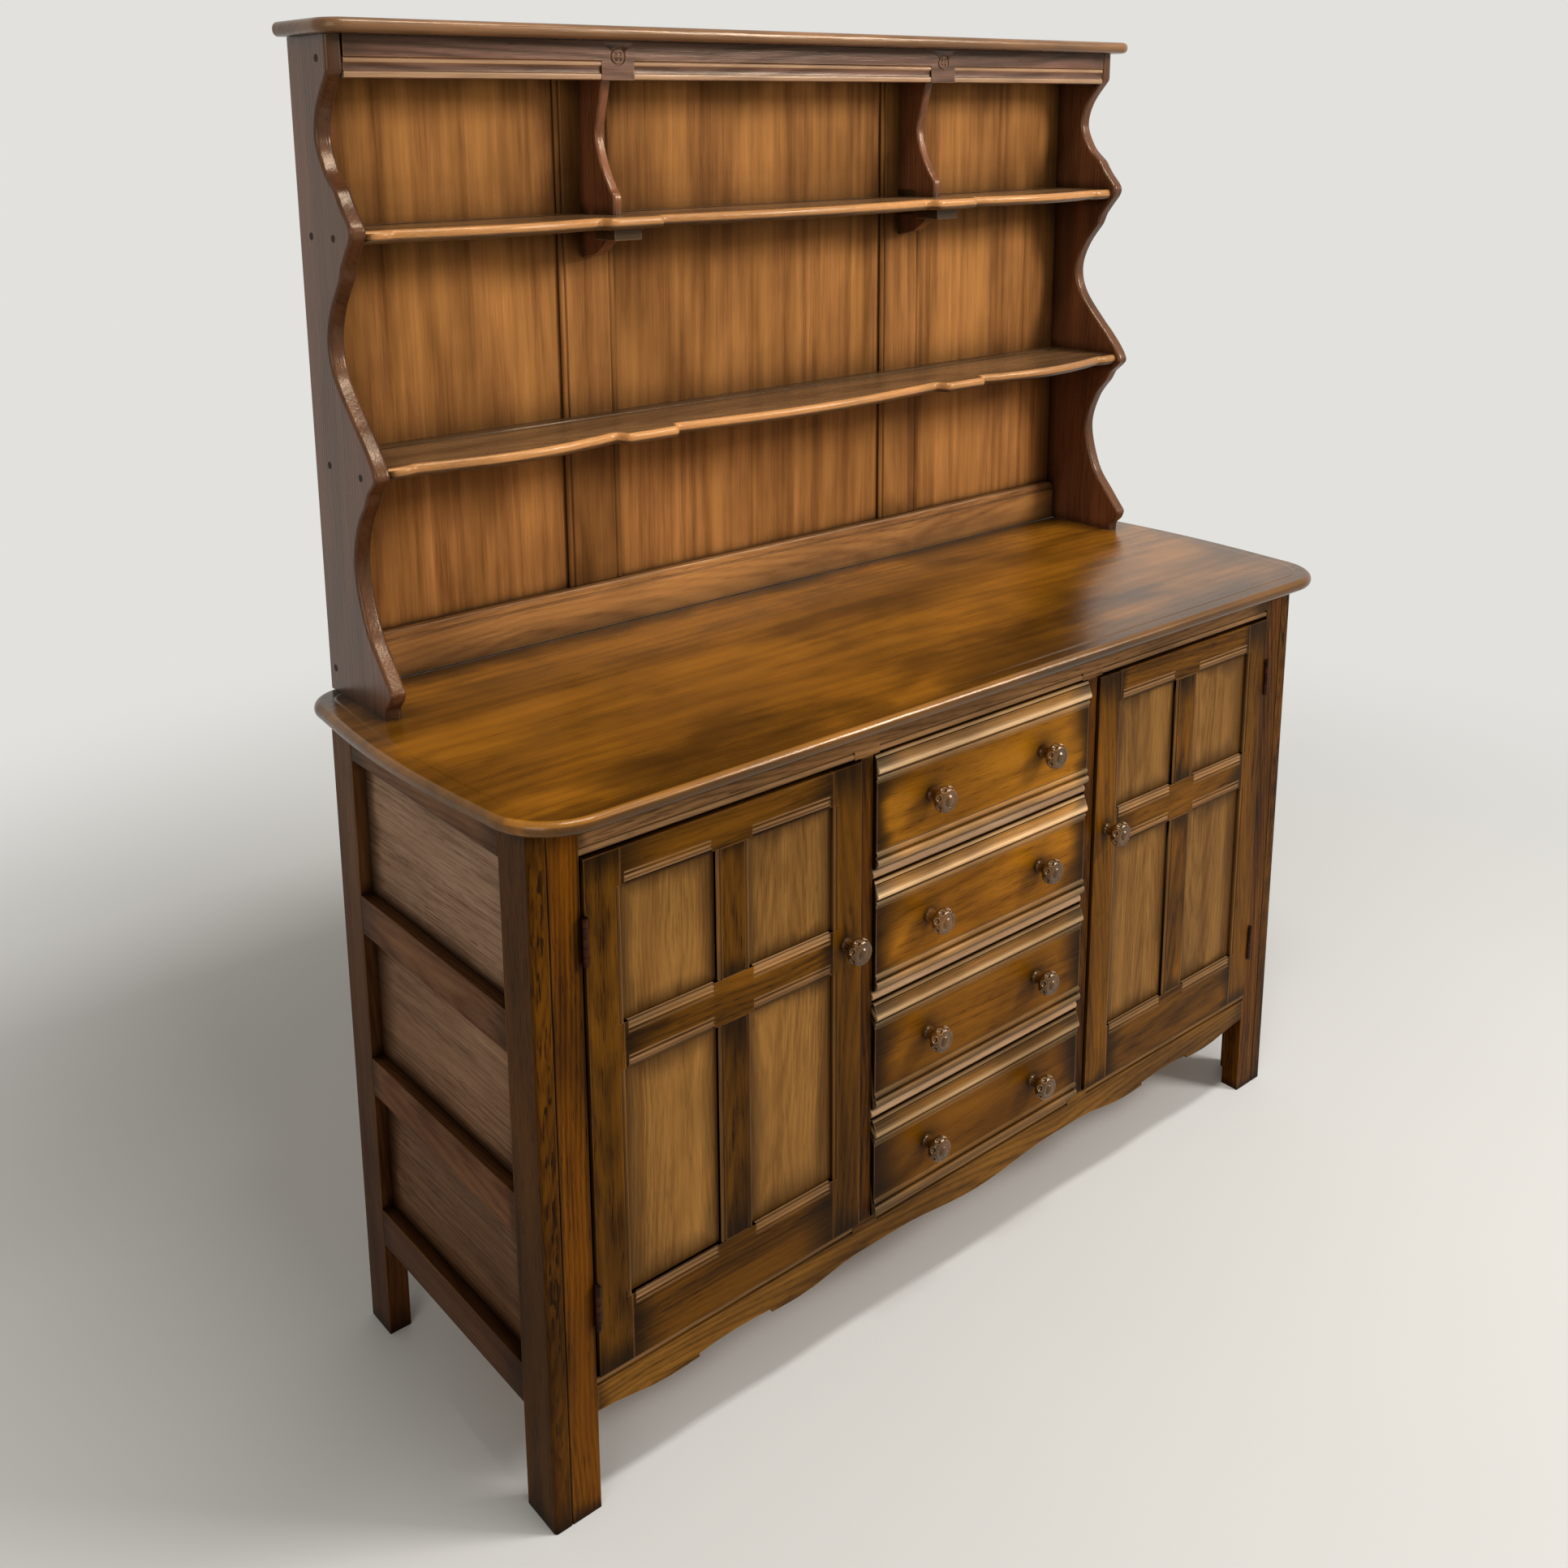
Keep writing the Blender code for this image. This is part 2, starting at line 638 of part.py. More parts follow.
def make_floor_and_back(materials):
    front = FRONT_Y + POST_STILE_DEPTH + SEAT_GAP
    strip_inner = OUTER_X - POST_STRIP_WIDTH - POST_GROOVE_WIDTH / 2 - SEAT_GAP
    strip_back = FRONT_Y + POST_STRIP_DEPTH + SEAT_GAP
    panel_inner = PANEL_INNER_X - SEAT_GAP
    back_front = BACK_POST_Y - SEAT_GAP
    back_inner = BACK_POST_INNER_X - SEAT_GAP
    stile_inner = POST_INNER_X - SEAT_GAP
    apron_back = FRONT_Y + APRON_THICKNESS + SEAT_GAP
    back = BACK_BOARD_Y - SEAT_GAP
    half = [
        (stile_inner, apron_back),
        (stile_inner, front),
        (strip_inner, front),
        (strip_inner, strip_back),
        (panel_inner, strip_back),
        (panel_inner, back_front),
        (back_inner, back_front),
        (back_inner, back),
    ]
    outline = half + [(-x, y) for x, y in reversed(half)]
    shape = add_prism(bmesh.new(), outline, "Z", FLOOR_TOP - FLOOR_THICKNESS, FLOOR_TOP)
    piece("base_floor", shape, materials["inside"], (0.0, 0.0, FLOOR_TOP))
    board(
        "base_back",
        (-back_inner, BACK_BOARD_Y, SIDE_FRAME_BOTTOM),
        (back_inner, BACK_Y, CARCASS_HEIGHT - SEAT_GAP),
        materials["inside"],
    )


# Doors

RAIL_MOULDING = (
    (0.0, 0.0045),
    (0.0010, 0.0024),
    (0.0030, 0.0009),
    (0.0056, 0.0003),
    (0.0062, 0.0016),
    (0.0078, 0.0016),
    (0.0086, 0.0007),
    (0.0100, 0.0002),
    (0.0118, 0.0002),
    (0.0130, 0.0007),
    (0.0136, 0.0016),
    (0.0144, 0.0),
)
STILE_MOULDING = (
    (0.0, 0.0020),
    (0.0012, 0.0006),
    (0.0030, 0.0003),
    (0.0044, 0.0010),
    (0.0050, 0.0018),
    (0.0062, 0.0),
)


def door_openings(side):
    """The four openings of a door's frame, as low and high corners in X and Z."""
    low_x, high_x = sorted((side * DOOR_INNER_X, side * DOOR_OUTER_X))
    middle = (low_x + high_x) / 2
    half_muntin = DOOR_MUNTIN_WIDTH / 2
    columns = (
        (low_x + DOOR_STILE_WIDTH, middle - half_muntin),
        (middle + half_muntin, high_x - DOOR_STILE_WIDTH),
    )
    upper_top = DOOR_TOP - DOOR_TOP_RAIL_HEIGHT
    upper_bottom = upper_top - DOOR_UPPER_LIGHT_HEIGHT
    lower_top = upper_bottom - DOOR_MIDDLE_RAIL_HEIGHT
    lower_bottom = DOOR_BOTTOM + DOOR_BOTTOM_RAIL_HEIGHT
    rows = ((upper_bottom, upper_top), (lower_bottom, lower_top))
    return [(left, right, bottom, top) for left, right in columns for bottom, top in rows]


def make_door(label, side, materials, knob_mesh):
    axis = empty("door_axis_" + label, (side * HINGE_X, HINGE_Y, 0.0))
    low_x, high_x = sorted((side * DOOR_INNER_X, side * DOOR_OUTER_X))
    back = DOOR_FACE_Y + DOOR_THICKNESS
    edge = [
        (DOOR_EDGE_ROUND, 0.0),
        (DOOR_EDGE_ROUND * 0.3, DOOR_EDGE_ROUND * 0.3),
        (0.0, DOOR_EDGE_ROUND),
        (0.0, DOOR_THICKNESS),
    ]
    rings = []
    for depth, height in edge:
        ring = [
            (low_x + depth, DOOR_BOTTOM + depth),
            (high_x - depth, DOOR_BOTTOM + depth),
            (high_x - depth, DOOR_TOP - depth),
            (low_x + depth, DOOR_TOP - depth),
        ]
        rings.append([(x, DOOR_FACE_Y + height, z) for x, z in ring])
    place = (side * HINGE_X, HINGE_Y, (DOOR_BOTTOM + DOOR_TOP) / 2)
    frame = piece("door_frame_" + label, add_loft(bmesh.new(), rings), materials["frame"], place, axis)

    openings = bmesh.new()
    mouldings = bmesh.new()
    margin = 0.005
    for left, right, bottom, top in door_openings(side):
        add_box(openings, (left, DOOR_FACE_Y - margin, bottom), (right, back + margin, top))
        start = left + DOOR_MOULDING_STOP
        end = right - DOOR_MOULDING_STOP
        add_edge_cutter(mouldings, "X", start, end, bottom, -1, DOOR_FACE_Y, RAIL_MOULDING)
        add_edge_cutter(mouldings, "X", start, end, top, 1, DOOR_FACE_Y, RAIL_MOULDING)
        add_edge_cutter(mouldings, "Z", bottom, top, left, -1, DOOR_FACE_Y, STILE_MOULDING)
        add_edge_cutter(mouldings, "Z", bottom, top, right, 1, DOOR_FACE_Y, STILE_MOULDING)
    boolean(frame, f"door_openings_{label}", openings)
    boolean(frame, f"door_mouldings_{label}", mouldings)

    # The panel lies in a pocket behind the mouldings and runs under the frame all round.
    inner_low = low_x + DOOR_STILE_WIDTH - DOOR_PANEL_LAP
    inner_high = high_x - DOOR_STILE_WIDTH + DOOR_PANEL_LAP
    pocket_low = DOOR_BOTTOM + DOOR_BOTTOM_RAIL_HEIGHT - DOOR_PANEL_LAP
    pocket_high = DOOR_TOP - DOOR_TOP_RAIL_HEIGHT + DOOR_PANEL_LAP
    panel_y = DOOR_FACE_Y + DOOR_PANEL_RECESS
    pocket = add_box(bmesh.new(), (inner_low, panel_y, pocket_low), (inner_high, back + margin, pocket_high))
    boolean(frame, f"door_pocket_{label}", pocket)
    board(
        "door_panel_" + label,
        (inner_low + SEAT_GAP, panel_y + SEAT_GAP, pocket_low + SEAT_GAP),
        (inner_high - SEAT_GAP, panel_y + SEAT_GAP + DOOR_PANEL_THICKNESS, pocket_high - SEAT_GAP),
        materials["panel"],
        parent=axis,
    )

    notches = bmesh.new()
    for name, low in (
        ("top", DOOR_TOP - HINGE_FROM_END - HINGE_LENGTH),
        ("bottom", DOOR_BOTTOM + HINGE_FROM_END),
    ):
        make_hinge(f"hinge_{label}_{name}", side, low, axis, materials)
        add_round_bar(notches, side * HINGE_X, HINGE_Y, HINGE_RADIUS + SEAT_GAP, low - SEAT_GAP,
                      low + HINGE_LENGTH + SEAT_GAP)
    boolean(frame, f"hinge_notches_{label}", notches)

    middle_rail = DOOR_TOP - DOOR_TOP_RAIL_HEIGHT - DOOR_UPPER_LIGHT_HEIGHT - DOOR_MIDDLE_RAIL_HEIGHT / 2
    knob_x = side * (DOOR_INNER_X + DOOR_KNOB_FROM_EDGE)
    knob_place = (knob_x, DOOR_FACE_Y - SEAT_GAP, middle_rail + DOOR_KNOB_RISE)
    add_knob("door_knob_" + label, knob_mesh, knob_place, axis)


def add_round_bar(shape, x, y, radius, low, high, sides=12):
    outline = [
        (x + radius * math.cos(2 * math.pi * i / sides), y + radius * math.sin(2 * math.pi * i / sides))
        for i in range(sides)
    ]
    return add_prism(shape, outline, "Z", low, high)


def make_hinge(name, side, low, axis, materials):
    """A barrel on the pin's axis, and the leaf that is screwed to the door's edge."""
    high = low + HINGE_LENGTH
    shape = add_round_bar(bmesh.new(), side * HINGE_X, HINGE_Y, HINGE_RADIUS, low, high, 16)
    item = piece(name, shape, materials["hinge"], (side * HINGE_X, HINGE_Y, low), axis)
    door_edge = DOOR_OUTER_X + SEAT_GAP
    leaf = sorted((side * door_edge, side * (door_edge + HINGE_LEAF_THICKNESS)))
    corners = (
        (leaf[0], HINGE_Y, low),
        (leaf[1], HINGE_Y + HINGE_LEAF_WIDTH, high),
    )
    boolean(item, name + "_leaf", add_box(bmesh.new(), *corners), "UNION")
    smooth(item)


# Drawers

DRAWER_TOP_MOULDING = (
    (0.0, 0.0005),
    (0.0030, 0.0040),
    (0.0070, 0.0068),
    (0.0125, 0.0085),
    (0.0180, 0.0090),
    (0.0215, 0.0086),
    (0.0235, 0.0072),
    (0.0245, 0.0042),
    (0.0262, 0.0042),
    (0.0270, 0.0058),
    (0.0292, 0.0066),
    (0.0314, 0.0058),
    (0.0322, 0.0042),
    (0.0340, 0.0042),
    (0.0346, DRAWER_FIELD_PROUD),
)
DRAWER_BOTTOM_MOULDING = (
    (0.0, 0.0005),
    (0.0018, 0.0040),
    (0.0048, 0.0072),
    (0.0088, 0.0088),
    (0.0122, 0.0084),
    (0.0138, 0.0068),
    (0.0146, 0.0042),
    (0.0166, 0.0042),
    (0.0174, 0.0058),
    (0.0200, 0.0066),
    (0.0226, 0.0058),
    (0.0234, 0.0042),
    (0.0244, DRAWER_FIELD_PROUD),
)


def make_drawer(number, low, high, materials, knob_mesh):
    """A moulded front with its box behind it, open at the top."""
    middle = (low + high) / 2
    slide = empty(f"drawer_slide_{number}", (0.0, FRONT_Y, middle))
    reach = DRAWER_BAY_X - DRAWER_GAP
    bottom = low + DRAWER_GAP
    top = high - DRAWER_GAP
    back = FRONT_Y + DRAWER_FRONT_THICKNESS
    outline = [(back, bottom), *((FRONT_Y - proud, bottom + up) for up, proud in DRAWER_BOTTOM_MOULDING)]
    outline += [(FRONT_Y - proud, top - down) for down, proud in reversed(DRAWER_TOP_MOULDING)]
    outline.append((back, top))
    shape = add_prism(bmesh.new(), outline, "X", -reach, reach)
    item = piece(f"drawer_{number}", shape, materials["drawer"], (0.0, FRONT_Y, middle), slide)
    smooth(item, math.radians(25))

    box_reach = DRAWER_BAY_X - DRAWER_PLAY
    box_front = FRONT_Y + DRAWER_FRONT_THICKNESS / 2
    box_back = BACK_BOARD_Y - DRAWER_BACK_CLEARANCE
    box_bottom = low + SEAT_GAP
    box_top = top - DRAWER_BOX_DROP
    outer = add_box(bmesh.new(), (-box_reach, box_front, bottom), (box_reach, box_back, box_top))
    boolean(item, f"drawer_box_{number}", outer, "UNION")
    runners = bmesh.new()
    overlap = 0.001
    for side in (-1, 1):
        inner, outside = sorted((side * (box_reach - DRAWER_WALL), side * box_reach))
        add_box(runners, (inner, back + FRAME_THICKNESS, box_bottom), (outside, box_back, bottom + overlap))
    boolean(item, f"drawer_runners_{number}", runners, "UNION")
    hollow = add_box(
        bmesh.new(),
        (-box_reach + DRAWER_WALL, back, bottom + DRAWER_BOTTOM_THICKNESS),
        (box_reach - DRAWER_WALL, box_back - DRAWER_WALL, high + DRAWER_WALL),
    )
    boolean(item, f"drawer_hollow_{number}", hollow)

    for label, side in SIDES:
        place = (side * DRAWER_KNOB_SPACING / 2, FRONT_Y - DRAWER_FIELD_PROUD - SEAT_GAP, middle)
        add_knob(f"drawer_knob_{number}_{label}", knob_mesh, place, slide)


# Knobs

def make_knob_mesh(materials):
    radius = KNOB_DIAMETER / 2
    stem = KNOB_STEM_DIAMETER / 2
    profile = (
        (stem * 1.12, 0.0),
        (stem * 1.12, KNOB_LENGTH * 0.07),
        (stem * 0.92, KNOB_LENGTH * 0.16),
        (stem * 0.90, KNOB_LENGTH * 0.36),
        (radius * 0.86, KNOB_LENGTH * 0.50),
        (radius, KNOB_LENGTH * 0.64),
        (radius * 0.97, KNOB_LENGTH * 0.78),
        (radius * 0.78, KNOB_LENGTH * 0.92),
        (radius * 0.60, KNOB_LENGTH * 0.90),
        (radius * 0.50, KNOB_LENGTH * 0.97),
        (radius * 0.20, KNOB_LENGTH),
    )
    item = turned("knob_pattern", profile, 24, materials["knob"], 8, KNOB_LENGTH * 0.05, (6, 7))
    mesh = item.data
    bpy.data.objects.remove(item)
    return mesh


def add_knob(name, mesh, place, parent):
    item = bpy.data.objects.new(name, mesh)
    bpy.context.scene.collection.objects.link(item)
    item.parent = parent
    item.location = Vector(place) - parent.location


# Gallery

def gallery_front_edge():
    """The scalloped front edge of a side, from the top down, as depths from the rear and heights."""
    top = FRIEZE_BOTTOM + 0.004
    upper = UPPER_SHELF_TOP
    lower = LOWER_SHELF_TOP - SHELF_THICKNESS / 2
    foot = WORKTOP_TOP + GALLERY_FOOT_HEIGHT
    floor = WORKTOP_TOP + SEAT_GAP

    def place(high, low, points):
        return [(depth, high + (low - high) * share) for share, depth in points]

    upper_hollow = place(top, upper, (
        (0.0, GALLERY_TOP_DEPTH - 0.0014),
        (0.20, UPPER_HOLLOW_DEPTH + 0.0094),
        (0.405, UPPER_HOLLOW_DEPTH),
        (0.595, UPPER_HOLLOW_DEPTH + 0.0137),
        (0.677, UPPER_HOLLOW_DEPTH + 0.0262),
    ))
    upper_nose = place(top, upper, (
        (0.738, UPPER_NOSE_DEPTH - 0.0313),
        (0.84, UPPER_NOSE_DEPTH - 0.0200),
        (0.95, UPPER_NOSE_DEPTH - 0.0040),
        (1.0, UPPER_NOSE_DEPTH),
    )) + place(upper, lower, (
        (0.036, UPPER_NOSE_DEPTH - 0.0025),
        (0.089, UPPER_NOSE_DEPTH - 0.0138),
        (0.149, UPPER_NOSE_DEPTH - 0.0263),
    ))
    middle_hollow = place(upper, lower, (
        (0.207, MIDDLE_HOLLOW_DEPTH + 0.0388),
        (0.337, MIDDLE_HOLLOW_DEPTH + 0.0125),
        (0.477, MIDDLE_HOLLOW_DEPTH),
        (0.62, MIDDLE_HOLLOW_DEPTH + 0.0107),
        (0.797, MIDDLE_HOLLOW_DEPTH + 0.0513),
    ))
    lower_nose = place(upper, lower, (
        (0.831, LOWER_NOSE_DEPTH - 0.0331),
        (0.925, LOWER_NOSE_DEPTH - 0.0113),
        (1.0, LOWER_NOSE_DEPTH),
    )) + place(lower, foot, (
        (0.036, LOWER_NOSE_DEPTH - 0.0050),
        (0.084, LOWER_NOSE_DEPTH - 0.0188),
    ))
    lower_hollow = place(lower, foot, (
        (0.145, LOWER_HOLLOW_DEPTH + 0.0362),
        (0.271, LOWER_HOLLOW_DEPTH + 0.0131),
        (0.47, LOWER_HOLLOW_DEPTH),
        (0.723, LOWER_HOLLOW_DEPTH + 0.0175),
        (0.8735, LOWER_HOLLOW_DEPTH + 0.0456),
        (1.0, GALLERY_FOOT_DEPTH),
    ))
    foot_round = place(foot, floor, (
        (0.36, GALLERY_FOOT_DEPTH - 0.0043),
        (0.66, GALLERY_FOOT_DEPTH - 0.0150),
        (1.0, GALLERY_FOOT_DEPTH - 0.0161),
    ))
    edge = [(GALLERY_TOP_DEPTH, GALLERY_TOP - SEAT_GAP), (GALLERY_TOP_DEPTH, top + 0.0015)]
    for run in (upper_hollow, upper_nose, middle_hollow, lower_nose, lower_hollow):
        edge += curve_through(run, 3)
    return edge + foot_round


def make_gallery_sides(materials):
    front = [(GALLERY_REAR_Y - depth, z) for depth, z in gallery_front_edge()]
    outline = front + [(GALLERY_REAR_Y, WORKTOP_TOP + SEAT_GAP), (GALLERY_REAR_Y, GALLERY_TOP - SEAT_GAP)]
    rounded = [1 < i < len(front) - 1 for i in range(len(outline))]
    edge = rounding(GALLERY_EDGE_ROUND, GALLERY_SIDE_THICKNESS, 2)
    for label, side in SIDES:
        start = min(side * GALLERY_WIDTH / 2, side * GALLERY_INNER_X)
        shape = add_rounded_board(bmesh.new(), outline, rounded, "X", start, edge)
        place = (side * (GALLERY_INNER_X + GALLERY_SIDE_THICKNESS / 2), GALLERY_REAR_Y, WORKTOP_TOP)
        item = piece("gallery_side_" + label, shape, materials["gallery"], place)
        smooth(item)


def make_cornice(materials):
    half_width = GALLERY_WIDTH / 2 + CORNICE_END_OVERHANG
    front = GALLERY_REAR_Y - CORNICE_DEPTH
    radius = CORNICE_CORNER_RADIUS
    steps = 5
    outline = [(half_width, GALLERY_REAR_Y), (-half_width, GALLERY_REAR_Y)]
    for side, turn in ((-1, 180), (1, 270)):
        for i in range(steps + 1):
            angle = math.radians(turn + 90 * i / steps)
            outline.append((
                side * (half_width - radius) + radius * math.cos(angle),
                front + radius + radius * math.sin(angle),
            ))
    rounded = [i > 1 for i in range(len(outline))]
    edge = rounding(CORNICE_THICKNESS * 0.44, CORNICE_THICKNESS, 3)
    shape = add_rounded_board(bmesh.new(), outline, rounded, "Z", GALLERY_TOP, edge)
    item = piece("cornice", shape, materials["gallery"], (0.0, GALLERY_REAR_Y, GALLERY_TOP))
    smooth(item)


FRIEZE_MOULDING = (
    (0.0, 0.0026),
    (0.0012, 0.0008),
    (0.0040, 0.0003),
    (0.0068, 0.0008),
    (0.0080, 0.0022),
    (0.0120, 0.0030),
    (0.0160, 0.0022),
    (0.0172, 0.0008),
    (0.0190, 0.0003),
    (0.0208, 0.0008),
    (0.0218, 0.0016),
    (FRIEZE_MOULDING_HEIGHT, 0.0),
)


def make_frieze(materials):
    reach = GALLERY_INNER_X - SEAT_GAP
    item = board(
        "frieze",
        (-reach, FRIEZE_FRONT_Y, FRIEZE_BOTTOM),
        (reach, FRIEZE_FRONT_Y + FRIEZE_THICKNESS, GALLERY_TOP - SEAT_GAP),
        materials["gallery"],
    )
    divider = DIVIDER_SPACING / 2
    plain = FRIEZE_PLAIN_WIDTH / 2
    overrun = 0.002
    runs = (
        (-reach - overrun, -divider - plain),
        (-divider + plain, divider - plain),
        (divider + plain, reach + overrun),
    )
    waste = bmesh.new()
    for start, end in runs:
        add_edge_cutter(waste, "X", start, end, FRIEZE_BOTTOM, 1, FRIEZE_FRONT_Y, FRIEZE_MOULDING)
    boolean(item, "frieze_moulding", waste)


def shelf_front(end_depth):
    """The front edge of a shelf from left to right: a tab under each divider and a bow between the tabs."""
    reach = GALLERY_INNER_X - SEAT_GAP
    divider = DIVIDER_SPACING / 2
    half_tab = SHELF_TAB_WIDTH / 2
    tab_depth = end_depth + SHELF_TAB_PROUD
    bays = (
        (-reach + SHELF_END_TAB_WIDTH, -divider - half_tab, end_depth, tab_depth),
        (-divider + half_tab, divider - half_tab, tab_depth, tab_depth),
        (divider + half_tab, reach - SHELF_END_TAB_WIDTH, tab_depth, end_depth),
    )
    steps = 8
    edge = [(-reach, end_depth)]
    for start, end, depth_before, depth_after in bays:
        first = min(depth_before, tab_depth - SHELF_STEP)
        last = min(depth_after, tab_depth - SHELF_STEP)
        edge.append((start, depth_before))
        for i in range(steps + 1):
            share = i / steps
            x = start + SHELF_STEP_RUN + (end - start - 2 * SHELF_STEP_RUN) * share
            edge.append((x, first + (last - first) * share + SHELF_BOW * math.sin(math.pi * share)))
        edge.append((end, depth_after))
    edge.append((reach, end_depth))
    return edge


def shelf_rear(halved):
    """The rear edge from right to left, stepped round the muntins and, on the upper shelf, cut for dividers."""
    reach = GALLERY_INNER_X - SEAT_GAP
    divider = DIVIDER_SPACING / 2
    half_muntin = GALLERY_MUNTIN_WIDTH / 2 + SEAT_GAP
    half_slot = DIVIDER_THICKNESS / 2 + SEAT_GAP
    rear = GALLERY_BACK_Y - SEAT_GAP
    step = MUNTIN_Y - SEAT_GAP
    slot = MUNTIN_Y - DIVIDER_HALVING_DEPTH - SEAT_GAP
    edge = [(reach, rear)]
    for middle in (divider, -divider):
        edge += [(middle + half_muntin, rear), (middle + half_muntin, step)]
        if halved:
            edge += [(middle + half_slot, step), (middle + half_slot, slot)]
            edge += [(middle - half_slot, slot), (middle - half_slot, step)]
        edge += [(middle - half_muntin, step), (middle - half_muntin, rear)]
    edge.append((-reach, rear))
    return edge


def make_shelf(name, top, end_depth, halved, materials):
    front = [(x, GALLERY_REAR_Y - depth) for x, depth in shelf_front(end_depth)]
    outline = front + shelf_rear(halved)
    rounded = [0 < i < len(front) - 1 for i in range(len(outline))]
    edge = rounding(SHELF_THICKNESS * 0.42, SHELF_THICKNESS, 2)
    bottom = top - SHELF_THICKNESS
    shape = add_rounded_board(bmesh.new(), outline, rounded, "Z", bottom, edge)
    item = piece(name, shape, materials["gallery"], (0.0, GALLERY_REAR_Y, bottom))
    smooth(item)


def make_divider(label, side, materials):
    """A bracket over the upper shelf, halved through it, with its tail and a small block underneath."""
    rear = MUNTIN_Y - SEAT_GAP
    shelf_top = UPPER_SHELF_TOP + SEAT_GAP
    shelf_bottom = UPPER_SHELF_TOP - SHELF_THICKNESS - SEAT_GAP
    halving = MUNTIN_Y - DIVIDER_HALVING_DEPTH
    top = GALLERY_TOP - SEAT_GAP
    behind_frieze = FRIEZE_FRONT_Y + FRIEZE_THICKNESS + SEAT_GAP
    neck = FRIEZE_BOTTOM - SEAT_GAP
    front_run = curve_through([
        (MUNTIN_Y - DIVIDER_TOP_DEPTH, neck),
        (MUNTIN_Y - DIVIDER_HOLLOW_DEPTH - 0.005, neck + (shelf_top - neck) * 0.26),
        (MUNTIN_Y - DIVIDER_HOLLOW_DEPTH, neck + (shelf_top - neck) * 0.42),
        (MUNTIN_Y - DIVIDER_HOLLOW_DEPTH - 0.010, neck + (shelf_top - neck) * 0.62),
        (MUNTIN_Y - DIVIDER_FOOT_DEPTH + 0.008, neck + (shelf_top - neck) * 0.80),
        (MUNTIN_Y - DIVIDER_FOOT_DEPTH, neck + (shelf_top - neck) * 0.86),
    ], 3)
    tail_run = curve_through([
        (MUNTIN_Y - DIVIDER_TAIL_DEPTH, shelf_bottom),
        (MUNTIN_Y - DIVIDER_TAIL_DEPTH * 0.86, shelf_bottom - DIVIDER_TAIL_DROP * 0.45),
        (MUNTIN_Y - DIVIDER_TAIL_DEPTH * 0.50, shelf_bottom - DIVIDER_TAIL_DROP * 0.85),
        (rear, shelf_bottom - DIVIDER_TAIL_DROP),
    ], 3)
    outline = [
        (rear, top),
        (max(behind_frieze, MUNTIN_Y - DIVIDER_TOP_DEPTH), top),
        *front_run,
        (MUNTIN_Y - DIVIDER_FOOT_DEPTH, shelf_top),
        (halving, shelf_top),
        (halving, shelf_bottom),
        *tail_run,
    ]
    rounded = [False, False, *([True] * len(front_run)), *([False] * (3 + len(tail_run)))]
    rounded[2] = False
    edge = rounding(DIVIDER_THICKNESS * 0.25, DIVIDER_THICKNESS, 2)
    middle = side * DIVIDER_SPACING / 2
    start = middle - DIVIDER_THICKNESS / 2
    shape = add_rounded_board(bmesh.new(), outline, rounded, "X", start, edge)
    item = piece("divider_" + label, shape, materials["gallery"], (middle, MUNTIN_Y, UPPER_SHELF_TOP))
    block = add_box(
        bmesh.new(),
        (middle - DIVIDER_BLOCK_WIDTH / 2, MUNTIN_Y - DIVIDER_BLOCK_DEPTH, shelf_bottom - DIVIDER_BLOCK_HEIGHT),
        (middle + DIVIDER_BLOCK_WIDTH / 2, MUNTIN_Y - DIVIDER_TAIL_DEPTH * 0.8, shelf_bottom),
    )
    boolean(item, "block_" + label, block, "UNION")
    smooth(item)


def make_gallery_back(materials):
    reach = GALLERY_INNER_X - SEAT_GAP
    board(
        "gallery_back",
        (-reach, GALLERY_BACK_Y, WORKTOP_TOP + SEAT_GAP),
        (reach, GALLERY_REAR_Y, GALLERY_TOP - SEAT_GAP),
        materials["backing"],
    )
    half = GALLERY_MUNTIN_WIDTH / 2
    front = MUNTIN_Y
    back = GALLERY_BACK_Y - SEAT_GAP
    bead = 0.008
    quirk = 0.0016
    section = [
        (-half, back),
        (-half, front + quirk),
        (-half + bead * 0.2, front + quirk * 0.3),
        (-half + bead * 0.5, front),
        (-half + bead * 0.8, front + quirk * 0.3),
        (-half + bead, front + quirk),
        (-half + bead * 1.25, front),
    ]
    section += [(-x, y) for x, y in reversed(section)]
    for label, side in SIDES:
        middle = side * DIVIDER_SPACING / 2
        outline = [(middle + x, y) for x, y in section]
        shape = add_prism(bmesh.new(), outline, "Z", UPSTAND_TOP + SEAT_GAP, GALLERY_TOP - SEAT_GAP)
        piece("gallery_muntin_" + label, shape, materials["backing"], (middle, MUNTIN_Y, UPSTAND_TOP))


def make_upstand(materials):
    reach = GALLERY_INNER_X - SEAT_GAP
    back = GALLERY_BACK_Y - SEAT_GAP
    front = back - UPSTAND_THICKNESS
    bottom = WORKTOP_TOP + SEAT_GAP
    top = UPSTAND_TOP
    section = [
        (back, bottom),
        (front, bottom),
        (front, top - 0.0150),
        (front + 0.0016, top - 0.0138),
        (front + 0.0016, top - 0.0122),
        (front, top - 0.0108),
        (front, top - 0.0050),
        (front + 0.0014, top - 0.0018),
        (front + 0.0045, top),
        (back, top),
    ]
    shape = add_prism(bmesh.new(), section, "X", -reach, reach)
    item = piece("upstand", shape, materials["gallery"], (0.0, front, bottom))
    waste = bmesh.new()
    radius = UPSTAND_CORNER_RADIUS
    over = 0.004
    for side in (-1, 1):
        corner = [(side * (reach + over), top + over), (side * (reach - radius), top + over)]
        for i in range(5):
            angle = math.pi / 2 * i / 4
            corner.append((
                side * (reach - radius + radius * math.sin(angle)),
                top - radius + radius * math.cos(angle),
            ))
        corner.append((side * (reach + over), top - radius))
        add_prism(waste, corner, "Y", front - over, back + over)
    boolean(item, "upstand_corners", waste)
    smooth(item, math.radians(25))


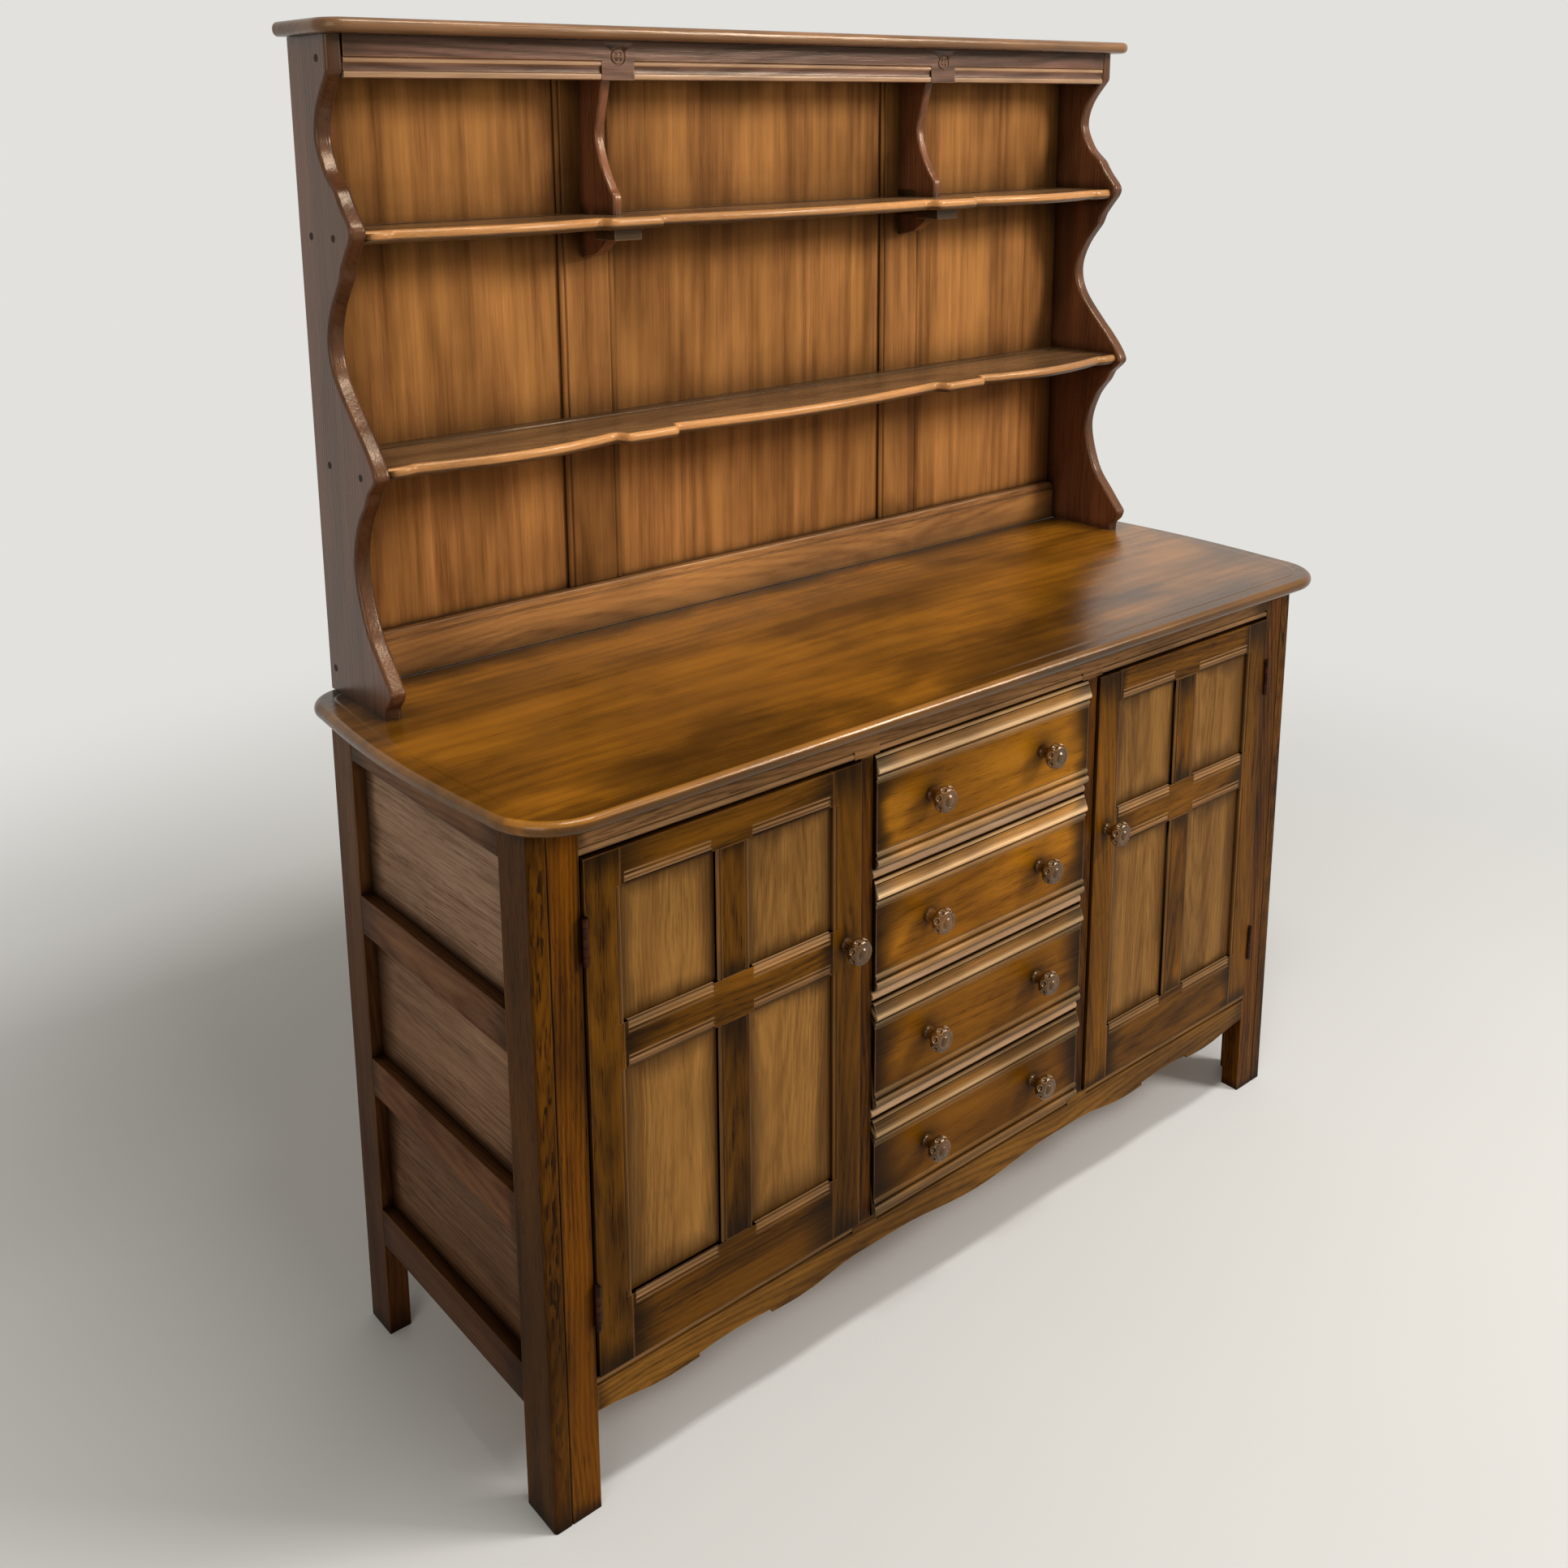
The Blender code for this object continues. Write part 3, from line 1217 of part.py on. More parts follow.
def build():
    clear_scene()
    materials = make_materials()
    make_worktop(materials)
    for label, side in SIDES:
        make_front_post(label, side, materials)
        make_side_frame(label, side, materials)
    make_top_rail(materials)
    make_apron(materials)
    make_front_frame(materials)
    make_floor_and_back(materials)
    knob_mesh = make_knob_mesh(materials)
    for label, side in SIDES:
        make_door(label, side, materials, knob_mesh)
    for number, (low, high) in enumerate(drawer_levels(), start=1):
        make_drawer(number, low, high, materials, knob_mesh)
    make_gallery_sides(materials)
    make_cornice(materials)
    make_frieze(materials)
    make_shelf("shelf_upper", UPPER_SHELF_TOP, UPPER_NOSE_DEPTH - SHELF_NOSE_SETBACK, True, materials)
    make_shelf("shelf_lower", LOWER_SHELF_TOP, LOWER_NOSE_DEPTH - SHELF_NOSE_SETBACK, False, materials)
    for label, side in SIDES:
        make_divider(label, side, materials)
    make_gallery_back(materials)
    make_upstand(materials)


build()
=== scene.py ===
# Kitchen dresser: a panelled base with doors and drawers, and a shelf gallery that stands on its worktop.
# Metres, Z up. X runs from left to right and Y from front to back.
import math
import random

import bpy
import numpy as np
from mathutils import Matrix, Vector


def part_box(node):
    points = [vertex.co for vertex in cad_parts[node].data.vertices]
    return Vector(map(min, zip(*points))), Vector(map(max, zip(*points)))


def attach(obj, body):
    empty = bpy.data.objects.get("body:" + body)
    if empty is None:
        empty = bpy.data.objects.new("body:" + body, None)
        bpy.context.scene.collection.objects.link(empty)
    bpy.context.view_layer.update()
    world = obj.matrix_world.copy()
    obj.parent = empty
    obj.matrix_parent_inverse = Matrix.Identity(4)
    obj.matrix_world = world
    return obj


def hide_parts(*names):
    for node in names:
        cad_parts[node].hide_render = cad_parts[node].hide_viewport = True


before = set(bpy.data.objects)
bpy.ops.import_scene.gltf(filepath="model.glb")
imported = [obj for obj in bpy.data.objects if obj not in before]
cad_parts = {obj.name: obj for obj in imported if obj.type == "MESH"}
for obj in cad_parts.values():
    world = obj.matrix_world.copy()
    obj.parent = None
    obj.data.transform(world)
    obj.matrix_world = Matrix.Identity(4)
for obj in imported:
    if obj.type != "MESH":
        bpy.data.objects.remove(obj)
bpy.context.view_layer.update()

scene = bpy.context.scene
sides = (("left", -1), ("right", 1))
hair = 0.0002  # play between two faces that would else touch
skin = 0.0004  # strip beside an edge that is left out of the wear
spare = 0.01  # left on a board until it is sawn to size


# Small modelling helpers

def deselectAll():
    bpy.ops.object.select_all(action="DESELECT")


def selectOnly(obj):
    deselectAll()
    obj.select_set(True)
    bpy.context.view_layer.objects.active = obj


def openMesh(obj, picked=True):
    # Edit mode on one object, with everything or nothing selected.
    selectOnly(obj)
    bpy.ops.object.mode_set(mode="EDIT")
    bpy.ops.mesh.select_mode(type="VERT")
    bpy.ops.mesh.select_all(action="SELECT" if picked else "DESELECT")


def closeMesh():
    bpy.ops.object.mode_set(mode="OBJECT")


def openPicked(obj, kind, wanted):
    # Edit mode on one object, with only the edges or faces that pass the test selected.
    openMesh(obj, picked=False)
    bpy.ops.mesh.select_mode(type=kind)
    closeMesh()
    for item in obj.data.edges if kind == "EDGE" else obj.data.polygons:
        item.select = wanted(item)
    bpy.ops.object.mode_set(mode="EDIT")


def mergePoints(obj, distance, angle):
    # Merges points that lie together and faces that lie flat to each other.
    openMesh(obj)
    bpy.ops.mesh.remove_doubles(threshold=distance)
    bpy.ops.mesh.dissolve_limited(angle_limit=math.radians(angle))
    closeMesh()


def faceOutwards(obj):
    openMesh(obj)
    bpy.ops.mesh.normals_make_consistent(inside=False)
    closeMesh()


def useModifier(obj, kind, **settings):
    modifier = obj.modifiers.new(kind.lower(), kind)
    for key, value in settings.items():
        setattr(modifier, key, value)
    selectOnly(obj)
    bpy.ops.object.modifier_apply(modifier=modifier.name)


def easeEdges(obj, width, segments=2, angle=30):
    useModifier(obj, "BEVEL", width=width, segments=segments, limit_method="ANGLE",
                angle_limit=math.radians(angle))


def roundEdges(obj, wanted, width, segments):
    # Bevels the edges whose two ends pass the test.
    openPicked(obj, "EDGE", lambda edge: all(wanted(obj.data.vertices[i].co) for i in edge.vertices))
    bpy.ops.mesh.bevel(offset=width, offset_type="OFFSET", segments=segments, affect="EDGES",
                       clamp_overlap=False)
    closeMesh()


def smoothOver(obj, angle=35):
    selectOnly(obj)
    bpy.ops.object.shade_smooth_by_angle(angle=math.radians(angle))
    useModifier(obj, "WEIGHTED_NORMAL", keep_sharp=True)


def settle(name, ease, segments=2):
    # Names the primitive that was added last, puts its place into its mesh and eases its edges.
    obj = bpy.context.object
    obj.name = obj.data.name = name
    bpy.ops.object.transform_apply(location=True, rotation=True, scale=True)
    if ease:
        easeEdges(obj, ease, segments)
    smoothOver(obj)
    return obj


def addBoard(name, low, high, ease=0.0008, segments=2):
    low, high = zip(*(sorted(pair) for pair in zip(low, high)))
    deselectAll()
    bpy.ops.mesh.primitive_cube_add(size=1, location=[(a + b) / 2 for a, b in zip(low, high)])
    bpy.context.object.scale = [b - a for a, b in zip(low, high)]
    return settle(name, ease, segments)


def boardLike(name, node, ease=0.0006):
    # A board of the same size and place as a solid of the part.
    return addBoard(name, *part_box(node), ease)


def addPin(name, place, radius, length, axis, segments, ease):
    # A round bar whose middle is at the place.
    turn = {"X": (0, math.pi / 2, 0), "Y": (math.pi / 2, 0, 0), "Z": (0, 0, 0)}[axis]
    deselectAll()
    bpy.ops.mesh.primitive_cylinder_add(vertices=segments, radius=radius, depth=length, location=place,
                                        rotation=turn)
    return settle(name, ease)


def joinAll(name, pieces):
    deselectAll()
    for obj in pieces:
        obj.select_set(True)
    bpy.context.view_layer.objects.active = pieces[0]
    bpy.ops.object.join()
    pieces[0].name = pieces[0].data.name = name
    return pieces[0]


def carve(obj, cutter):
    useModifier(obj, "BOOLEAN", object=cutter, operation="DIFFERENCE", solver="EXACT")
    bpy.data.objects.remove(cutter)
    mergePoints(obj, 0.000005, 0.1)


def copyMesh(name, source):
    obj = bpy.data.objects.new(name, source.data.copy())
    obj.data.name = name
    scene.collection.objects.link(obj)
    return obj


def copyNode(name, node):
    # A copy of a CAD solid, merged into whole faces.
    obj = copyMesh(name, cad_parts[node])
    selectOnly(obj)
    obj.data.materials.clear()
    bpy.ops.mesh.customdata_custom_splitnormals_clear()
    mergePoints(obj, 0.00002, 0.4)
    smoothOver(obj, 30)
    return obj


def keepBetween(obj, axis, low=None, high=None):
    # Saws a piece off square at one or both ends.
    along = Vector([float(letter == axis) for letter in "XYZ"])
    for limit, turn in ((low, -1), (high, 1)):
        if limit is not None:
            openMesh(obj)
            bpy.ops.mesh.bisect(plane_co=along * limit, plane_no=along * turn, use_fill=True,
                                clear_outer=True)
            closeMesh()


def scoreAt(obj, places):
    # Lines across a board on both sides of the middle, where wear and painted highlight can stop. Nothing is
    # cut off.
    for place in places:
        for side in (-1, 1):
            openMesh(obj)
            bpy.ops.mesh.bisect(plane_co=(side * place, 0, 0), plane_no=(1, 0, 0))
            closeMesh()


def offBlocks(point, places):
    # Whether a point lies outside the plain blocks between two such lines.
    return not places[0] + hair < abs(point.x) < places[1] - hair


def quarterRound(x, y, radius, turn, steps):
    # A quarter of a circle, from the angle that it starts at in degrees.
    angles = [math.radians(turn + 90 * i / steps) for i in range(steps + 1)]
    return [(x + radius * math.cos(angle), y + radius * math.sin(angle)) for angle in angles]


def curveThrough(points, steps):
    # A smooth line through every point.
    padded = [points[0], *points, points[-1]]
    found = [points[0]]
    for a, b, c, d in zip(padded, padded[1:], padded[2:], padded[3:]):
        for i in range(1, steps + 1):
            t = i / steps
            found.append(tuple(
                0.5 * (2 * b[k] + (c[k] - a[k]) * t
                       + (2 * a[k] - 5 * b[k] + 4 * c[k] - d[k]) * t**2
                       + (3 * b[k] - a[k] - 3 * c[k] + d[k]) * t**3)
                for k in range(2)))
    return found


def softened(line, spacing, passes):
    # Evenly spaced points along a line, with its corners rubbed round.
    points = [Vector(point) for point in line]
    lengths = [(b - a).length for a, b in zip(points, points[1:])]
    count = max(4, round(sum(lengths) / spacing))
    found = []
    for i in range(count + 1):
        left = sum(lengths) * i / count
        for a, b, length in zip(points, points[1:], lengths):
            if left <= length or b is points[-1]:
                found.append(a.lerp(b, min(1.0, left / max(length, 1e-9))))
                break
            left -= length
    for _ in range(passes):
        found = [found[0], *((a + 2 * b + c) / 4 for a, b, c in zip(found, found[1:], found[2:])), found[-1]]
    return [tuple(point) for point in found]


def cutOut(name, outline, plane, start, thickness, edgeRound=0.0, steps=3):
    # A board sawn to an outline that is square to X or Z, with both its edges rounded.
    deselectAll()
    bpy.ops.curve.primitive_bezier_curve_add()
    drawn = bpy.context.object.data
    drawn.splines.clear()
    drawn.dimensions = "2D"
    drawn.fill_mode = "BOTH"
    line = drawn.splines.new("POLY")
    line.points.add(len(outline) - 1)
    for point, (a, b) in zip(line.points, outline):
        point.co = (a, b, 0.0, 1.0)
    line.use_cyclic_u = True
    drawn.extrude = thickness / 2 - edgeRound
    drawn.bevel_depth = edgeRound
    drawn.bevel_resolution = steps
    drawn.offset = -edgeRound
    bpy.ops.object.convert(target="MESH")
    obj = bpy.context.object
    obj.name = obj.data.name = name
    middle = start + thickness / 2
    if plane == "X":
        obj.matrix_world = Matrix(((0, 0, 1, middle), (1, 0, 0, 0), (0, 1, 0, 0), (0, 0, 0, 1)))
    else:
        obj.matrix_world = Matrix.Translation((0, 0, middle))
    bpy.ops.object.transform_apply(location=True, rotation=True, scale=True)
    mergePoints(obj, 0.00001, 0.05)
    faceOutwards(obj)
    return obj


def layGrain(obj, along, tilt, margin):
    # Stores where each point lies in its own plank: along the grain, across it and into it.
    draw = random.Random(obj.name)
    count = len(obj.data.vertices)
    places = np.empty(count * 3, np.float32)
    obj.data.vertices.foreach_get("co", places)
    places = places.reshape(-1, 3)
    order = {"X": (0, 2, 1), "Y": (1, 2, 0), "Z": (2, 0, 1)}[along]
    if along == "X" and np.ptp(places[:, 1]) > 2 * np.ptp(places[:, 2]):
        order = (0, 1, 2)
    places = places[:, order]
    low, high = places.min(0), places.max(0)
    places = places - (low + high) / 2
    turn = math.radians(draw.uniform(-tilt, tilt))
    turned = places.copy()
    turned[:, 0] = places[:, 0] * math.cos(turn) - places[:, 1] * math.sin(turn)
    turned[:, 1] = places[:, 0] * math.sin(turn) + places[:, 1] * math.cos(turn)
    turned += (draw.uniform(-9, 9), draw.uniform(-0.05, 0.05), draw.uniform(0.015, 0.06))
    half = np.tile((high - low) / 2 - margin, (count, 1))
    for name, values in (("grain", turned), ("place", places), ("half", half)):
        layer = obj.data.attributes.new(name, "FLOAT_VECTOR", "POINT")
        layer.data.foreach_set("vector", values.astype(np.float32).ravel())
    storeValues(obj, "plank", [draw.uniform(0, 1)] * count)


def storeValues(obj, name, values):
    layer = obj.data.attributes.new(name, "FLOAT", "POINT")
    layer.data.foreach_set("value", np.array(values, np.float32))


def dress(obj, body, finish, along, node=None, tilt=1.0, margin=0.0, wear=None, tone=1.0):
    # Wear gives how rubbed a point is, from 0 to 1, which also paints a highlight there; tone makes it darker
    # or lighter than its finish, and paints shade on the gallery side edges.
    layGrain(obj, along, tilt, margin)
    points = [point.co.copy() for point in obj.data.vertices]
    storeValues(obj, "tone", [tone(point) if callable(tone) else tone for point in points])
    if wear:
        storeValues(obj, "worn", [wear(point) for point in points])
    obj.data.materials.clear()
    obj.data.materials.append(finishes[finish])
    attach(obj, body)
    if node:
        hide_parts(node)


# Finishes

def tint(red, green, blue):
    # A colour written in 0 to 255 as it looks on a screen.
    return tuple(
        v / 12.92 if v <= 0.04045 else ((v + 0.055) / 1.055) ** 2.4
        for v in (red / 255, green / 255, blue / 255)
    ) + (1.0,)


def nodeTools(tree):
    # What one material is put together with. What is fed in is a value or another node's output.
    def feed(target, feeds):
        for key, value in feeds.items():
            if isinstance(value, bpy.types.NodeSocket):
                tree.links.new(value, target.inputs[key])
            else:
                target.inputs[key].default_value = value
        return target

    def add(kind, feeds=None, **settings):
        made = tree.nodes.new("ShaderNode" + kind)
        for key, value in settings.items():
            setattr(made, key, value)
        return feed(made, feeds or {})

    def calc(operation, *values, clamp=False):
        return add("Math", dict(enumerate(values)), operation=operation, use_clamp=clamp).outputs[0]

    def spread(value, low, high, newLow=0.0, newHigh=1.0, smooth=False):
        return add("MapRange", {
            "Value": value, "From Min": low, "From Max": high, "To Min": newLow, "To Max": newHigh,
        }, interpolation_type="SMOOTHSTEP" if smooth else "LINEAR", clamp=True).outputs[0]

    def blend(factor, first, second, mode="MIX"):
        return add("Mix", {0: factor, 6: first, 7: second}, data_type="RGBA", blend_type=mode).outputs[2]

    def noise(place, along, across, detail=2.0, roughness=0.5):
        # Cells in a metre along and across the grain.
        place = add("VectorMath", {0: place, 1: (along, across, across)}, operation="MULTIPLY").outputs[0]
        return add("TexNoise", {
            "Vector": place, "Scale": 1.0, "Detail": detail, "Roughness": roughness,
        }).outputs["Fac"]

    def read(name, output="Fac"):
        return add("Attribute", attribute_name=name).outputs[output]

    return feed, add, calc, spread, blend, noise, read


def newFinish(name):
    material = bpy.data.materials.new(name)
    material.use_nodes = True
    return material, material.node_tree.nodes["Principled BSDF"], nodeTools(material.node_tree)


# Cells in a metre along and across the grain, detail, roughness, and the range that is spread from 0 to 1
woodNoise = {
    "fibre": (16.0, 520.0, 3.0, 0.6, 0.32, 0.68),
    "blotch": (5.0, 11.0, 3.0, 0.5, 0.32, 0.68),
    "pore": (40.0, 640.0, 1.0, 0.5, 0.58, 0.68),
    "glow": (3.0, 24.0, 2.0, 0.5, 0.45, 0.68),
    "dash": (42.0, 230.0, 1.0, 0.5, 0.57, 0.62),
}


def woodFinish(name, look):
    material, shader, (feed, add, calc, spread, blend, noise, read) = newFinish(name)
    grain, place, half = (read(key, "Vector") for key in ("grain", "place", "half"))

    def patches(along, across, detail, roughness, low, high):
        return spread(noise(grain, along, across, detail, roughness), low, high)

    def share(value, key):
        return calc("MULTIPLY", value, look[key])

    def dye(key):
        return tint(*look[key])

    # Growth rings round a heart that drifts along the plank
    along, across, into = add("SeparateXYZ", {0: grain}).outputs
    across = calc("MULTIPLY_ADD", noise(grain, 1.6, 7.0), look["sway"], across)
    into = calc("MULTIPLY_ADD", calc("PINGPONG", along, 0.7), look["drift"], into)
    radius = calc("SQRT", calc("ADD", calc("MULTIPLY", across, across), calc("MULTIPLY", into, into)))
    ripple = calc("MULTIPLY", noise(grain, 5.0, 60.0), 4.0)
    phase = calc("MULTIPLY_ADD", radius, look["rings"] * 2 * math.pi, ripple)
    ring = calc("POWER", spread(calc("SINE", phase), -1.0, 1.0), 1.6)

    streak = patches(look["streakRun"], look["streaks"], 4.0, 0.6, 0.35, 0.65)
    fibre = patches(*woodNoise["fibre"])
    blotch = patches(*woodNoise["blotch"])
    figure = calc("MULTIPLY_ADD", ring, look["ringShare"], share(streak, "streakShare"))
    figure = calc("MULTIPLY_ADD", fibre, look["fibreShare"], figure)
    figure = calc("MULTIPLY_ADD", patches(*woodNoise["pore"]), look["poreShare"], figure, clamp=True)
    colour = blend(figure, dye("light"), dye("dark"))
    if look["dashShare"]:
        # Short dark strokes down the middle of a narrow strip
        across = calc("ABSOLUTE", add("SeparateXYZ", {0: place}).outputs[1])
        dash = calc("MULTIPLY", patches(*woodNoise["dash"]), spread(across, 0.0045, 0.0085, 1.0, 0.0))
        colour = blend(share(dash, "dashShare"), colour, dye("glaze"))
    colour = blend(share(blotch, "blotchShare"), colour, dye("smudge"))
    colour = blend(share(patches(*woodNoise["glow"]), "warmShare"), colour, dye("warm"))

    # Each plank has its own tone, and all are painted darker and less warm towards the floor as painted shade
    height = add("SeparateXYZ", {0: add("TexCoord").outputs["Object"]}).outputs[2]

    def lowDown(part):
        return spread(height, look["lowFrom"], look["lowTo"], part, 1.0)

    plankTone = spread(read("plank"), 0.0, 1.0, 1.0 - look["plankShare"], 1.0 + look["plankShare"])
    tone = calc("MULTIPLY", calc("MULTIPLY", lowDown(look["lowTone"]), plankTone), read("tone"))
    green, blue = (calc("MULTIPLY", tone, lowDown(part)) for part in look["lowTint"])
    toned = add("CombineColor", {0: tone, 1: green, 2: blue}).outputs[0]
    colour = blend(1.0, colour, toned, "MULTIPLY")

    # Darker stain towards the ends and sides of a board, as it is sprayed on by hand
    wobble = calc("MULTIPLY_ADD", blotch, 1.4, 0.3)
    away = add("VectorMath", {0: place}, operation="ABSOLUTE").outputs[0]
    room = add("VectorMath", {0: half, 1: away}, operation="SUBTRACT").outputs[0]
    room = add("SeparateXYZ", {0: room}).outputs
    shade = 0.0
    for key, left in (("end", room[0]), ("side", room[1])):
        if look[key + "Share"]:
            near = calc("DIVIDE", left, share(wobble, key + "Reach"))
            shade = calc("MAXIMUM", shade, spread(near, 0.0, 1.0, look[key + "Share"], 0.0, smooth=True))
    colour = blend(shade, colour, dye("glaze"))

    # Stain that has gathered in corners together with painted shade there, and edges rubbed pale together
    # with painted highlight
    corner = add("AmbientOcclusion", {"Distance": look["recessReach"]}, samples=6).outputs["AO"]
    colour = blend(share(spread(corner, 0.95, 0.40), "recess"), colour, dye("glaze"))
    # Convex edges are painted paler: rubbed wear, and a painted highlight along them as well.
    if look["rub"]:
        soft = add("Bevel", {"Radius": look["rubReach"]}, samples=4).outputs[0]
        flat = add("NewGeometry").outputs["Normal"]
        same = add("VectorMath", {0: soft, 1: flat}, operation="DOT_PRODUCT").outputs["Value"]
        rubbed = calc("MULTIPLY", spread(same, 0.995, 0.90), spread(corner, 0.45, 0.80))
        rubbed = calc("MULTIPLY", rubbed, spread(blotch, 0.9, 0.2, look["rub"] * 0.4, look["rub"]))
        colour = blend(rubbed, colour, dye("pale"))
    # Points marked as worn are painted pale: real wear on crests and rims, and a painted highlight along them
    # too.
    most = look["wornShare"]
    worn = calc("MULTIPLY", read("worn"), spread(blotch, 0.9, 0.1, most * 0.6, most))
    worn = calc("MULTIPLY", worn, spread(fibre, 0.0, 1.0, 1.0, 0.7))
    colour = blend(worn, colour, blend(1.0, dye("worn"), toned, "MULTIPLY"))

    relief = calc("MULTIPLY_ADD", fibre, -0.6, calc("MULTIPLY", ring, -0.3))
    bump = add("Bump", {"Strength": look["bump"], "Distance": 0.0005, "Height": relief})
    feed(shader, {
        "Base Color": colour, "Normal": bump.outputs[0],
        "Roughness": spread(figure, 0.0, 1.0, look["roughness"] - 0.03, look["roughness"] + 0.06),
        "Specular IOR Level": look["gloss"], "Specular Tint": tint(255, 226, 192),
        "Coat Weight": look["coat"], "Coat Roughness": look["coatRoughness"],
    })
    return material


# Colours are what the finish looks like in plain light, except that the worn and pale colours also paint
# highlights, the glaze also paints shade in corners, and the finish is painted darker low down. Reaches are
# in metres, shares from 0 to 1.
basicLook = {
    "glaze": (12, 5, 1), "pale": (190, 132, 74), "worn": (186, 142, 98), "wornShare": 0.85, "warmShare": 0.35,
    "lowTone": 0.75, "lowTint": (1.0, 1.0), "lowFrom": 0.10, "lowTo": 0.80, "plankShare": 0.14,
    "sway": 0.03, "drift": 0.06, "rings": 190, "ringShare": 0.35, "fibreShare": 0.25, "poreShare": 0.40,
    "streaks": 60.0, "streakShare": 0.5, "streakRun": 1.1, "dashShare": 0.0, "blotchShare": 0.6,
    "endReach": 0.040, "endShare": 0.60, "sideReach": 0.006, "sideShare": 0.25, "recess": 0.90,
    "recessReach": 0.018, "rub": 0.35, "rubReach": 0.0022, "roughness": 0.34, "bump": 0.30, "gloss": 0.05,
    "coat": 0.0, "coatRoughness": 0.12,
}


def stained(light, dark, smudge, warm, **others):
    # The four colours of a wood, and what else differs from the basic look.
    return {**basicLook, "light": light, "dark": dark, "smudge": smudge, "warm": warm, **others}


